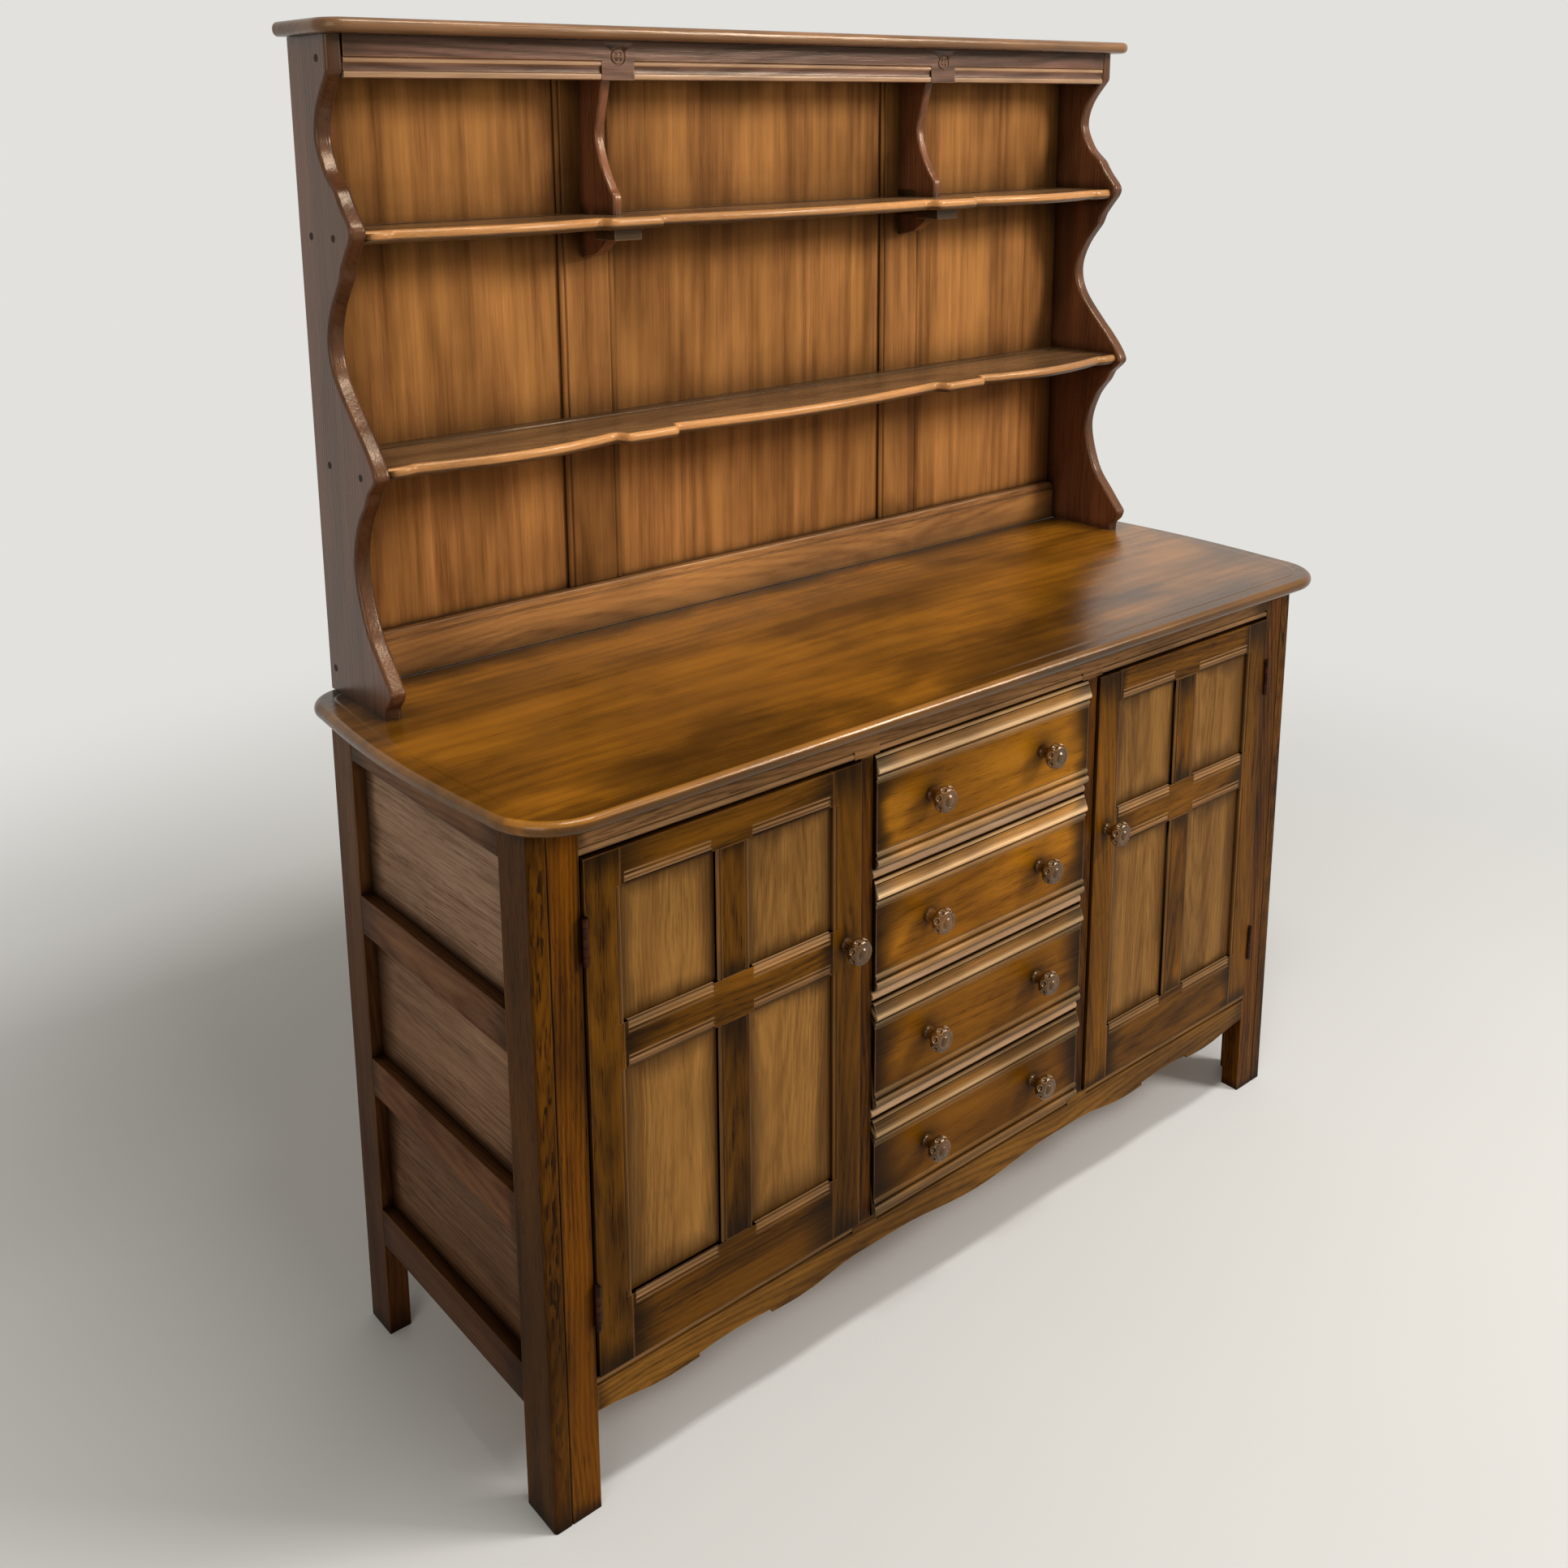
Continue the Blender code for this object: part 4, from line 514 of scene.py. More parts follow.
looks = {
    "worktopElm": stained(
        (148, 93, 18), (80, 43, 7), (27, 13, 2), (156, 97, 25), worn=(196, 126, 40), wornShare=0.5,
        rings=60, sway=0.05, streaks=34.0, streakShare=0.3, streakRun=0.5, ringShare=0.2, poreShare=0.15,
        blotchShare=0.66, sideReach=0.12, sideShare=0.6, endReach=0.10, endShare=0.4,
        rub=0.0, recess=0.8, recessReach=0.04, roughness=0.22, gloss=0.42, coat=0.10),
    "frameElm": stained(
        (128, 79, 13), (40, 19, 1), (26, 11, 1), (151, 94, 15),
        ringShare=0.24, streakShare=0.45, blotchShare=0.48, endReach=0.055, endShare=0.8),
    "postElm": stained((119, 69, 3), (35, 11, 1), (22, 6, 1), (139, 78, 5)),
    "stripElm": stained(
        (119, 70, 4), (60, 28, 1), (35, 16, 1), (137, 83, 5),
        streakShare=0.3, poreShare=0.9, rings=330, ringShare=0.4, dashShare=0.85),
    "topRailElm": stained((179, 130, 84), (70, 44, 21), (44, 25, 12), (202, 141, 82)),
    "apronElm": stained((159, 106, 36), (64, 38, 11), (41, 21, 6), (181, 121, 39)),
    # Side frames and side panels are painted darker and redder low down as painted shade, which leaves their
    # tops greyer as a painted sheen.
    "sideElm": stained(
        (133, 95, 63), (86, 49, 24), (61, 33, 14), (140, 95, 59),
        rub=0.3, lowTone=0.5, lowTo=0.75, lowTint=(0.8, 0.6)),
    # The drawer rails are pale as rubbed wood and as painted highlight, and get less painted corner shade.
    "railElm": stained(
        (236, 194, 153), (198, 151, 109), (157, 111, 74), (236, 181, 131),
        endShare=0.3, rub=0.5, recess=0.35, blotchShare=0.3),
    "panelElm": stained(
        (156, 111, 53), (107, 69, 27), (91, 57, 21), (166, 117, 57), glaze=(44, 24, 7),
        rings=230, ringShare=0.24, fibreShare=0.5, blotchShare=0.35, sideReach=0.030, sideShare=0.62,
        endReach=0.034, endShare=0.62, rub=0.0, recess=0.6, roughness=0.42, gloss=0.08, lowTone=0.85),
    "sidePanelElm": stained(
        (192, 158, 129), (118, 87, 63), (90, 63, 44), (183, 145, 112), glaze=(30, 14, 5),
        rings=170, sway=0.01, ringShare=0.08, fibreShare=0.6, streaks=210.0, streakShare=0.42, streakRun=2.5,
        sideReach=0.020, sideShare=0.6, endReach=0.03, rub=0.0, roughness=0.42,
        lowTone=0.26, lowTo=0.78, lowTint=(0.72, 0.5)),
    "drawerElm": stained(
        (177, 113, 23), (99, 56, 4), (64, 32, 2), (193, 125, 26), pale=(224, 180, 128), worn=(255, 212, 160),
        wornShare=1.0, rings=90, rub=0.3, streakShare=0.35, ringShare=0.2, endReach=0.065, endShare=0.90,
        sideReach=0.016, sideShare=0.5, recessReach=0.032, lowTone=0.72, lowTo=0.72, lowTint=(0.92, 0.74)),
    "galleryElm": stained(
        (124, 73, 43), (78, 44, 26), (54, 29, 15), (146, 86, 51), pale=(210, 160, 118), worn=(190, 128, 84),
        wornShare=0.06, rub=0.5, endShare=0.2, gloss=0.4, roughness=0.24),
    "corniceElm": stained(
        (108, 73, 48), (65, 40, 26), (41, 27, 19), (118, 76, 46), worn=(162, 116, 74), wornShare=0.3,
        rub=0.4, rings=120, endShare=0.2, gloss=0.45, roughness=0.24),
    "friezeElm": stained(
        (133, 96, 81), (73, 45, 33), (53, 29, 20), (138, 92, 73), worn=(214, 168, 126), wornShare=0.65,
        rub=0.5, rings=90, ringShare=0.75, sway=0.07, endShare=0.3, gloss=0.35, roughness=0.26),
    "backingElm": stained(
        (205, 138, 78), (114, 69, 30), (91, 55, 24), (217, 150, 78),
        rings=60, streaks=80.0, streakRun=0.25, ringShare=0.15, poreShare=0.08, fibreShare=0.3,
        recessReach=0.07, sideReach=0.02, sideShare=0.2, endReach=0.05, endShare=0.5, rub=0.0),
    "shelfElm": stained(
        (114, 83, 52), (69, 47, 28), (49, 30, 18), (128, 93, 58), pale=(232, 186, 138), worn=(210, 144, 82),
        wornShare=0.72, rub=0.3, endShare=0.2, recessReach=0.05, gloss=0.35, roughness=0.26),
    "upstandElm": stained(
        (217, 151, 84), (136, 88, 48), (98, 61, 33), (241, 168, 92), pale=(232, 186, 138),
        rub=0.3, endShare=0.2, recessReach=0.05, gloss=0.25),
    "bareBeech": stained(
        (188, 146, 100), (156, 112, 70), (150, 108, 70), (190, 148, 102), glaze=(90, 60, 34),
        recess=0.35, rub=0.0, roughness=0.6, endShare=0.0, sideShare=0.0, lowTone=1.0),
    # The deep corner darkening round the stem and under the head is painted shade.
    "knobElm": stained(
        (118, 73, 25), (29, 14, 3), (18, 7, 1), (121, 73, 25), pale=(215, 168, 112), rings=260,
        recessReach=0.009, recess=0.98, rub=0.7, rubReach=0.0015, roughness=0.2, coat=0.05, gloss=0.7,
        endShare=0.0, sideShare=0.0),
    "plugElm": stained(
        (46, 28, 18), (26, 15, 9), (20, 12, 7), (46, 28, 18), rub=0.0, endShare=0.0, sideShare=0.0),
}


def steelFinish(name):
    material, shader, (feed, add, calc, spread, blend, noise, read) = newFinish(name)
    patch = noise(add("TexCoord").outputs["Object"], 90.0, 90.0, 4.0)
    feed(shader, {
        "Base Color": blend(spread(patch, 0.35, 0.65), tint(66, 32, 10), tint(32, 13, 3)),
        "Roughness": spread(patch, 0.3, 0.7, 0.38, 0.6), "Metallic": 0.85,
    })
    return material


finishes = {name: woodFinish(name, look) for name, look in looks.items()}
finishes["brownedSteel"] = steelFinish("brownedSteel")
print("finishes made:", len(finishes))


# Worktop

worktop = {
    "width": 1.416, "depth": 0.510, "bottom": 0.835, "thickness": 0.018, "edgeShare": 0.47,
    "endBow": 0.012, "frontRadius": 0.080, "backRadius": 0.050,
    # A flat band round the edge, and a slope in four parts down to it
    "band": 0.0225, "step": 0.0007, "slope": 0.0048, "slopeShares": (0.15, 0.35, 0.35, 0.15),
    # How far up the rim the wear and painted highlight start, where the front ends, and how they fade towards
    # the right-hand end
    "wornFrom": 0.70, "frontY": -0.20, "behindShare": 0.25, "wornTo": 0.66, "fade": 0.25, "least": 0.12,
}


def worktopOutline(size):
    # Straight front and back, ends that bow out a little, and round corners.
    reach = size["width"] / 2 - size["endBow"]
    front, back = size["frontRadius"], size["backRadius"]
    corners = ((-1, -1, front, back, 180), (1, -1, front, back, 270),
               (1, 1, back, front, 0), (-1, 1, back, front, 90))
    outline = []
    for side, end, radius, nextRadius, turn in corners:
        start = end * (size["depth"] / 2 - radius)
        last = -end * (size["depth"] / 2 - nextRadius)
        outline += quarterRound(side * (reach - radius), start, radius, turn, 20)
        if side == -end:
            for i in range(1, 24):
                bow = size["endBow"] * math.sin(math.pi * i / 24)
                outline.append((side * (reach + bow), start + (last - start) * i / 24))
    return outline


def makeWorktop(size):
    board = size["thickness"] - size["step"]
    edgeRound = board * size["edgeShare"]
    obj = cutOut("worktopBoard", worktopOutline(size), "Z", size["bottom"], board, edgeRound, 5)
    openPicked(obj, "FACE", lambda face: face.normal.z > 0.99 and face.area > 0.3)
    bpy.ops.mesh.inset(thickness=size["band"] - edgeRound, depth=0)
    for share in size["slopeShares"]:
        bpy.ops.mesh.inset(thickness=size["slope"] / 4, depth=size["step"] * share)
    closeMesh()
    smoothOver(obj, 50)
    rimLow = size["bottom"] + board * size["wornFrom"]
    rimHigh = size["bottom"] + board - hair

    def wear(point):
        # Wear and painted highlight: most on the front rim, and hardly any at the right-hand end.
        if not rimLow < point.z < rimHigh:
            return 0.0
        most = 1.0 if point.y < size["frontY"] else size["behindShare"]
        return most * max(size["least"], min(1.0, (size["wornTo"] - point.x) / size["fade"]))

    dress(obj, "case", "worktopElm", "X", "worktop", tilt=0.5, wear=wear)


makeWorktop(worktop)
print("worktop made")


# Base: corner posts, side frames and front frame

post = {"strip": 0.0225, "stileDeep": 0.029, "joint": 0.00015, "groove": 0.0017, "round": 0.004,
        "ease": 0.0006, "stripTone": 0.80, "stileTone": 1.28}


def makeFrontPost(label, side, size):
    node = "front_post_" + label
    low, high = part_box(node)
    outer = side * max(abs(low.x), abs(high.x))
    inner = side * min(abs(low.x), abs(high.x))
    seam = outer - side * size["strip"]
    joint = side * size["joint"]

    def frontAt(x):
        # A test for the upright edge of the front face at one place.
        return lambda point: abs(point.x - x) < 0.0005 and abs(point.y - low.y) < 0.00001

    strip = addBoard("postStrip_" + label, (outer, low.y, low.z), (seam + joint, high.y, high.z), 0)
    roundEdges(strip, frontAt(outer), size["round"], 5)
    stileBack = low.y + size["stileDeep"]
    stile = addBoard("postStile_" + label, (seam - joint, low.y, low.z), (inner, stileBack, high.z), 0)
    for obj, wood, tone in ((strip, "stripElm", size["stripTone"]), (stile, "postElm", size["stileTone"])):
        roundEdges(obj, frontAt(seam), size["groove"], 2)
        easeEdges(obj, size["ease"], 2, 60)
        smoothOver(obj)
        dress(obj, "case", wood, "Z", node, tone=tone)


sideFrame = {"ease": 0.0014, "levels": ("bottom", "lower", "upper", "top"), "lap": 0.010}


def makeSideFrame(label, size):
    node = "back_post_" + label
    dress(boardLike("backPost_" + label, node, size["ease"]), "case", "sideElm", "Z", node)
    rails = []
    for level in size["levels"]:
        node = f"side_rail_{level}_{label}"
        rails.append(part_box(node))
        rail = boardLike(f"sideRail_{level}_{label}", node, size["ease"])
        dress(rail, "case", "sideElm", "Y", node)
    node = "side_panel_" + label
    low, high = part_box(node)
    lap = size["lap"]
    for number, (below, above) in enumerate(zip(rails, rails[1:])):
        panel = addBoard(f"sidePanel_{label}_{number}", (low.x, low.y, below[1].z - lap),
                         (high.x, high.y, above[0].z + lap), 0)
        dress(panel, "case", "sidePanelElm", "Y", node, margin=lap)


for label, side in sides:
    makeFrontPost(label, side, post)
    makeSideFrame(label, sideFrame)


# How far the bead along a rail runs up and back, the part at each inner stile that has none, and its wear
# with painted highlight
bead = {"start": 0.0005, "reach": 0.0080, "behind": 0.0014, "gap": (0.1840, 0.2270),
        "top_rail": 0.55, "apron": 0.5}


def makeBeadedRail(name, node, wood, size):
    low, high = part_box(node)
    rail = copyNode(name, node)
    scoreAt(rail, size["gap"])

    def wear(point):
        off = point.z - low.z if node == "top_rail" else high.z - point.z
        crest = size["start"] < off < size["reach"] - skin and point.y < low.y + size["behind"]
        return size[node] if crest and offBlocks(point, size["gap"]) else 0.0

    dress(rail, "case", wood, "X", node, wear=wear)


makeBeadedRail("topRailBoard", "top_rail", "topRailElm", bead)
makeBeadedRail("apronBoard", "apron", "apronElm", bead)


def makeFrontFrame():
    sticks = [("innerStile_" + label, "inner_stile_" + label, "postElm", "Z") for label, _ in sides]
    sticks += [(f"drawerRail_{number}", f"drawer_rail_{number}", "railElm", "X") for number in (1, 2, 3)]
    for name, node, wood, along in sticks:
        dress(copyNode(name, node), "case", wood, along, node)
    boards = [("floorBoard", "base_floor", "X"), ("rearBoard", "base_back", "X")]
    boards += [("partitionBoard_" + label, "partition_" + label, "Y") for label, _ in sides]
    for name, node, along in boards:
        dress(boardLike(name, node), "case", "bareBeech", along, node)


makeFrontFrame()

rearPins = {"radius": 0.0022, "proud": 0.0005, "ease": 0.0002, "spacing": 0.11, "inset": 0.012}


def pinBoard(name, node, size):
    # A row of pin heads along each edge of a board that closes the rear.
    low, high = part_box(node)
    left, right = low.x + size["inset"], high.x - size["inset"]
    bottom, top = low.z + size["inset"], high.z - size["inset"]
    across = round((right - left) / size["spacing"])
    upward = round((top - bottom) / size["spacing"])
    places = [(left + (right - left) * i / across, z) for i in range(across + 1) for z in (bottom, top)]
    places += [(x, bottom + (top - bottom) * i / upward) for i in range(1, upward) for x in (left, right)]
    heads = [addPin("pinHead", (x, high.y, z), size["radius"], 2 * size["proud"], "Y", 12, size["ease"])
             for x, z in places]
    dress(joinAll(name, heads), "case", "brownedSteel", "X")


pinBoard("basePins", "base_back", rearPins)
print("carcass made")


# Doors

door = {
    "stile": 0.045, "topRail": 0.043, "bottomRail": 0.0835, "middleRail": 0.055, "muntin": 0.046,
    "upperLight": 0.157, "joint": 0.00012, "recess": 0.0058, "panel": 0.006, "lap": 0.0175,
    # Moulding wear, with a painted highlight that is strongest on the rails, which face the light from above.
    "moulding": 0.0155, "railWear": 1.0, "stileWear": 0.35,
}


def makeDoor(label, size):
    body = label + "_door"
    node = "door_frame_" + label
    low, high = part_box(node)
    middle = (low.x + high.x) / 2
    half = size["muntin"] / 2
    gap = size["joint"]
    left, right = low.x + size["stile"], high.x - size["stile"]
    upperTop = high.z - size["topRail"]
    upperBottom = upperTop - size["upperLight"]
    lowerTop = upperBottom - size["middleRail"]
    lowerBottom = low.z + size["bottomRail"]
    railEnds = (left + gap, right - gap)
    muntinSides = (middle - half, middle + half)
    sticks = (
        ("stileA", "Z", (None, left - gap), (None, None)),
        ("stileB", "Z", (right + gap, None), (None, None)),
        ("railTop", "X", railEnds, (upperTop, None)),
        ("railMiddle", "X", railEnds, (lowerTop, upperBottom)),
        ("railBottom", "X", railEnds, (None, lowerBottom)),
        ("muntinUpper", "Z", muntinSides, (upperBottom + gap, upperTop - gap)),
        ("muntinLower", "Z", muntinSides, (lowerBottom + gap, lowerTop - gap)),
    )
    columns = (("A", left, middle - half), ("B", middle + half, right))
    rows = (("Upper", upperBottom, upperTop), ("Lower", lowerBottom, lowerTop))
    face = low.y + size["recess"]

    def nearOne(value, spans):
        return any(start - size["moulding"] < value < end + size["moulding"] for _, start, end in spans)

    def moulded(point):
        return nearOne(point.x, columns) and nearOne(point.z, rows) and low.y + skin < point.y < face - skin

    for name, along, (lowX, highX), (lowZ, highZ) in sticks:
        stick = copyNode(f"door_{label}_{name}", node)
        keepBetween(stick, "X", lowX, highX)
        keepBetween(stick, "Z", lowZ, highZ)
        smoothOver(stick, 30)
        # The mouldings are painted pale as wear and as painted highlight.
        most = size["railWear"] if along == "X" else size["stileWear"]
        dress(stick, body, "frameElm", along, node,
              wear=lambda point: most if moulded(point) else 0.0)
    lap = size["lap"]
    for column, left, right in columns:
        for row, bottom, top in rows:
            panel = addBoard(f"door_{label}_panel{row}{column}", (left - lap, face, bottom - lap),
                             (right + lap, face + size["panel"], top + lap), 0)
            dress(panel, body, "panelElm", "Z", "door_panel_" + label, margin=lap)


for label, _ in sides:
    makeDoor(label, door)
print("doors made")


# Drawers

drawer = {
    "thickness": 0.0155, "wall": 0.010, "reach": 0.1935, "frontReach": 0.194, "boxBack": 0.209,
    "bottom": 0.006, "drop": 0.022, "clearance": 0.0015, "runnerFrom": 0.022, "ease": 0.0005, "faceY": -0.205,
    "tones": (0.85, 1.14, 0.63, 0.71),
    # Heights that are rubbed and painted with highlight, and how much: down from the top edge, then up from
    # the bottom edge
    "topWear": ((0.0006, 0.0036, 0.4), (0.0050, 0.0125, 0.16), (0.0140, 0.0155, 0.5), (0.0163, 0.0226, 1.0),
                (0.0264, 0.0312, 0.22)),
    "bottomWear": ((0.0010, 0.0132, 0.3), (0.0168, 0.0234, 0.2)),
    # Distance in from the edge, and how far proud of the frame
    "topMoulding": (
        (0.0, 0.0005), (0.0010, 0.0022), (0.0034, 0.0032), (0.0037, 0.0022), (0.0047, 0.0022),
        (0.0050, 0.0036), (0.0085, 0.0052), (0.0120, 0.0067), (0.0150, 0.0080), (0.0168, 0.0087),
        (0.0182, 0.0090), (0.0198, 0.0090), (0.0212, 0.0085), (0.0223, 0.0073), (0.0229, 0.0056),
        (0.0232, 0.0042), (0.0262, 0.0042), (0.0266, 0.0052), (0.0276, 0.0060), (0.0288, 0.0062),
        (0.0300, 0.0058), (0.0308, 0.0050), (0.0312, 0.0042), (0.0341, 0.0042), (0.0346, 0.0048)),
    "bottomMoulding": (
        (0.0, 0.0005), (0.0008, 0.0024), (0.0022, 0.0046), (0.0044, 0.0069), (0.0070, 0.0083),
        (0.0094, 0.0088), (0.0116, 0.0086), (0.0131, 0.0076), (0.0140, 0.0060), (0.0145, 0.0042),
        (0.0166, 0.0042), (0.0170, 0.0052), (0.0182, 0.0062), (0.0200, 0.0066), (0.0218, 0.0062),
        (0.0230, 0.0052), (0.0234, 0.0042), (0.0239, 0.0042), (0.0244, 0.0048)),
}


def makeDrawer(number, size):
    body = f"drawer_box_{number}"
    node = f"drawer_{number}"
    low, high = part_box(node)
    below = f"drawer_rail_{number}" if number < 4 else "base_floor"
    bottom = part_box(below)[1].z + size["clearance"]
    face = size["faceY"]
    back = face + size["thickness"]
    outline = [(back, bottom)]
    outline += [(face - proud, bottom + up) for up, proud in size["bottomMoulding"]]
    outline += [(face - proud, high.z - down) for down, proud in reversed(size["topMoulding"])]
    outline.append((back, high.z))
    front = cutOut(f"drawerFront_{number}", outline, "X", -size["frontReach"], 2 * size["frontReach"])
    smoothOver(front, 28)

    # The crest and beads of the mouldings are painted pale: wear, and a painted highlight where the light
    # catches them.
    def wear(point):
        if point.y > face:
            return 0.0
        runs = [(high.z - point.z, run) for run in size["topWear"]]
        runs += [(point.z - bottom, run) for run in size["bottomWear"]]
        return max([share for off, (start, end, share) in runs if start <= off <= end], default=0.0)

    dress(front, body, "drawerElm", "X", node, wear=wear, tone=size["tones"][number - 1])
    reach = size["reach"]
    inner = reach - size["wall"]
    boxTop = high.z - size["drop"]
    end = size["boxBack"]
    start = back + hair
    floorTop = bottom + size["bottom"]
    boards = [
        ("rear", (-inner + hair, end - size["wall"], floorTop + hair), (inner - hair, end, boxTop), "X"),
        ("bottom", (-inner + hair, start, bottom + hair), (inner - hair, end, floorTop), "X"),
    ]
    for label, side in sides:
        boards.append(("side_" + label, (side * reach, start, bottom), (side * inner, end, boxTop), "Y"))
        boards.append(("runner_" + label, (side * reach, back + size["runnerFrom"], low.z),
                       (side * inner, end, bottom - hair / 2), "Y"))
    for name, boardLow, boardHigh, along in boards:
        obj = addBoard(f"drawer_{number}_{name}", boardLow, boardHigh, size["ease"])
        dress(obj, body, "bareBeech", along)


for number in (1, 2, 3, 4):
    makeDrawer(number, drawer)
print("drawers made")


# Knobs: turned on a lathe, then gouged into eight petals

knob = {
    "radius": 0.017, "length": 0.033, "petals": 8, "gouge": 0.0052, "gougeReach": 0.0188,
    "gougeForward": 0.83,
    # Radius and distance forward, as shares of the radius and length
    "profile": (
        (0.0, 0.0), (0.54, 0.0), (0.54, 0.06), (0.50, 0.10), (0.45, 0.16), (0.43, 0.26), (0.44, 0.36),
        (0.56, 0.44), (0.80, 0.50), (0.93, 0.56), (0.99, 0.63), (1.0, 0.70), (0.97, 0.78), (0.90, 0.85),
        (0.80, 0.90), (0.68, 0.93), (0.56, 0.93), (0.50, 0.91), (0.44, 0.915), (0.38, 0.95), (0.28, 0.985),
        (0.14, 1.0), (0.0, 1.0)),
}


def turnKnob(size):
    line = [(share * size["radius"], -forward * size["length"], 0) for share, forward in size["profile"]]
    deselectAll()
    bpy.ops.mesh.primitive_circle_add(vertices=3, radius=0.001)
    obj = bpy.context.object
    obj.name = "knobPattern"
    openMesh(obj)
    bpy.ops.mesh.delete(type="VERT")
    closeMesh()
    obj.data.from_pydata(line, [(i, i + 1) for i in range(len(line) - 1)], [])
    openMesh(obj)
    bpy.ops.mesh.spin(steps=64, angle=2 * math.pi, center=(0, 0, 0), axis=(0, 1, 0))
    bpy.ops.mesh.select_all(action="SELECT")
    bpy.ops.mesh.remove_doubles(threshold=0.00002)
    closeMesh()
    faceOutwards(obj)
    gouges = []
    reach = size["gougeReach"]
    for i in range(size["petals"]):
        angle = 2 * math.pi * (i + 0.5) / size["petals"]
        place = (reach * math.cos(angle), -size["length"] * size["gougeForward"], reach * math.sin(angle))
        deselectAll()
        bpy.ops.mesh.primitive_uv_sphere_add(segments=24, ring_count=16, radius=size["gouge"], location=place)
        gouges.append(bpy.context.object)
    cutter = joinAll("knobGouges", gouges)
    bpy.ops.object.transform_apply(location=True, rotation=True, scale=True)
    carve(obj, cutter)
    smoothOver(obj, 42)
    return obj


def placeKnob(name, node, body, pattern):
    low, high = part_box(node)
    obj = copyMesh(name, pattern)
    obj.data.transform(Matrix.Translation(((low.x + high.x) / 2, high.y, (low.z + high.z) / 2)))
    dress(obj, body, "knobElm", "Y", node)


pattern = turnKnob(knob)
for label, _ in sides:
    placeKnob("doorKnob_" + label, "door_knob_" + label, label + "_door", pattern)
for number in (1, 2, 3, 4):
    for label, _ in sides:
        placeKnob(f"drawerKnob_{number}_{label}", f"drawer_knob_{number}_{label}", f"drawer_box_{number}",
                  pattern)
bpy.data.objects.remove(pattern)


# Hinges: a barrel in five knuckles on each door, with a leaf on the door and one on the post

hinge = {
    "x": 0.6065, "y": -0.2105, "radius": 0.0035, "knuckles": 5, "gap": 0.0004, "pin": 0.0024,
    "leafX": 0.6058, "leaf": 0.001, "leafWidth": 0.016, "leafEase": 0.0002,
    "postLeafX": 0.6074, "postLeaf": 0.0005, "postLeafY": (0.006, 0.021),
}


def makeHinge(label, side, end, size):
    node = f"hinge_{label}_{end}"
    low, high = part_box(node)
    x, y = side * size["x"], size["y"]
    step = (high.z - low.z) / size["knuckles"]
    parts = []
    for i in range(size["knuckles"]):
        place = (x, y, low.z + (i + 0.5) * step)
        parts.append(addPin("knuckle", place, size["radius"], step - size["gap"], "Z", 28, 0.0004))
    middle = (x, y, (low.z + high.z) / 2)
    parts.append(addPin("hingePin", middle, size["pin"], high.z - low.z - hair, "Z", 20, 0.0003))
    edge = size["leafX"]
    parts.append(addBoard("doorLeaf", (side * edge, y, low.z),
                          (side * (edge + size["leaf"]), y + size["leafWidth"], high.z), size["leafEase"]))
    obj = joinAll(f"doorHinge_{label}_{end}", parts)
    dress(obj, label + "_door", "brownedSteel", "Z", node)
    edge = size["postLeafX"]
    start, stop = size["postLeafY"]
    obj = addBoard(f"postLeaf_{label}_{end}", (side * edge, y + start, low.z),
                   (side * (edge - size["postLeaf"]), y + stop, high.z), 0)
    dress(obj, "case", "brownedSteel", "Z")


for label, side in sides:
    for end in ("top", "bottom"):
        makeHinge(label, side, end, hinge)
print("knobs and hinges made")


# Gallery sides

# The edge tone paints shade on the rounded front edge of each side.
gallery = {"rear": 0.2525, "width": 1.311, "side": 0.020, "edgeRound": 0.0046, "edgeTone": 0.62,
           "rearStrip": 0.01}
# Depth of the scalloped edge from the rear, and how far down its band, from one level to the next
sideEdge = {
    "top": [(0.0940, 1.6172), (0.0940, 1.5675)],
    "upperHollow": [(0.0926, 0.0), (0.0658, 0.20), (0.0564, 0.405), (0.0701, 0.595), (0.0826, 0.677)],
    "upperNose": [(0.0951, 0.738), (0.1064, 0.84), (0.1224, 0.95), (0.1264, 1.0)],
    "underUpperNose": [(0.1239, 0.036), (0.1126, 0.089), (0.1001, 0.149)],
    "middleHollow": [(0.0939, 0.207), (0.0676, 0.337), (0.0551, 0.477), (0.0658, 0.62), (0.1064, 0.797)],
    "lowerNose": [(0.1158, 0.831), (0.1376, 0.925), (0.1489, 1.0)],
    "underLowerNose": [(0.1439, 0.036), (0.1301, 0.084)],
    "lowerHollow": [(0.1220, 0.145), (0.0989, 0.271), (0.0858, 0.47), (0.1033, 0.723), (0.1314, 0.8735),
                    (0.1576, 1.0)],
    "foot": [(0.1533, 0.36), (0.1426, 0.66), (0.1415, 1.0), (0.1415, 1.3)],
    "levels": (1.566, 1.401, 1.13425, 0.886, 0.8533),
}
plugs = {"radius": 0.0042, "proud": 0.0003, "ease": 0.0001,
         "places": ((0.182, 1.583), (0.224, 1.392), (0.169, 1.392), (0.217, 1.132), (0.139, 1.130),
                    (0.238, 0.882))}


def closeAtRear(front, rear):
    return front + [(rear, front[-1][1]), (rear, front[0][1])]


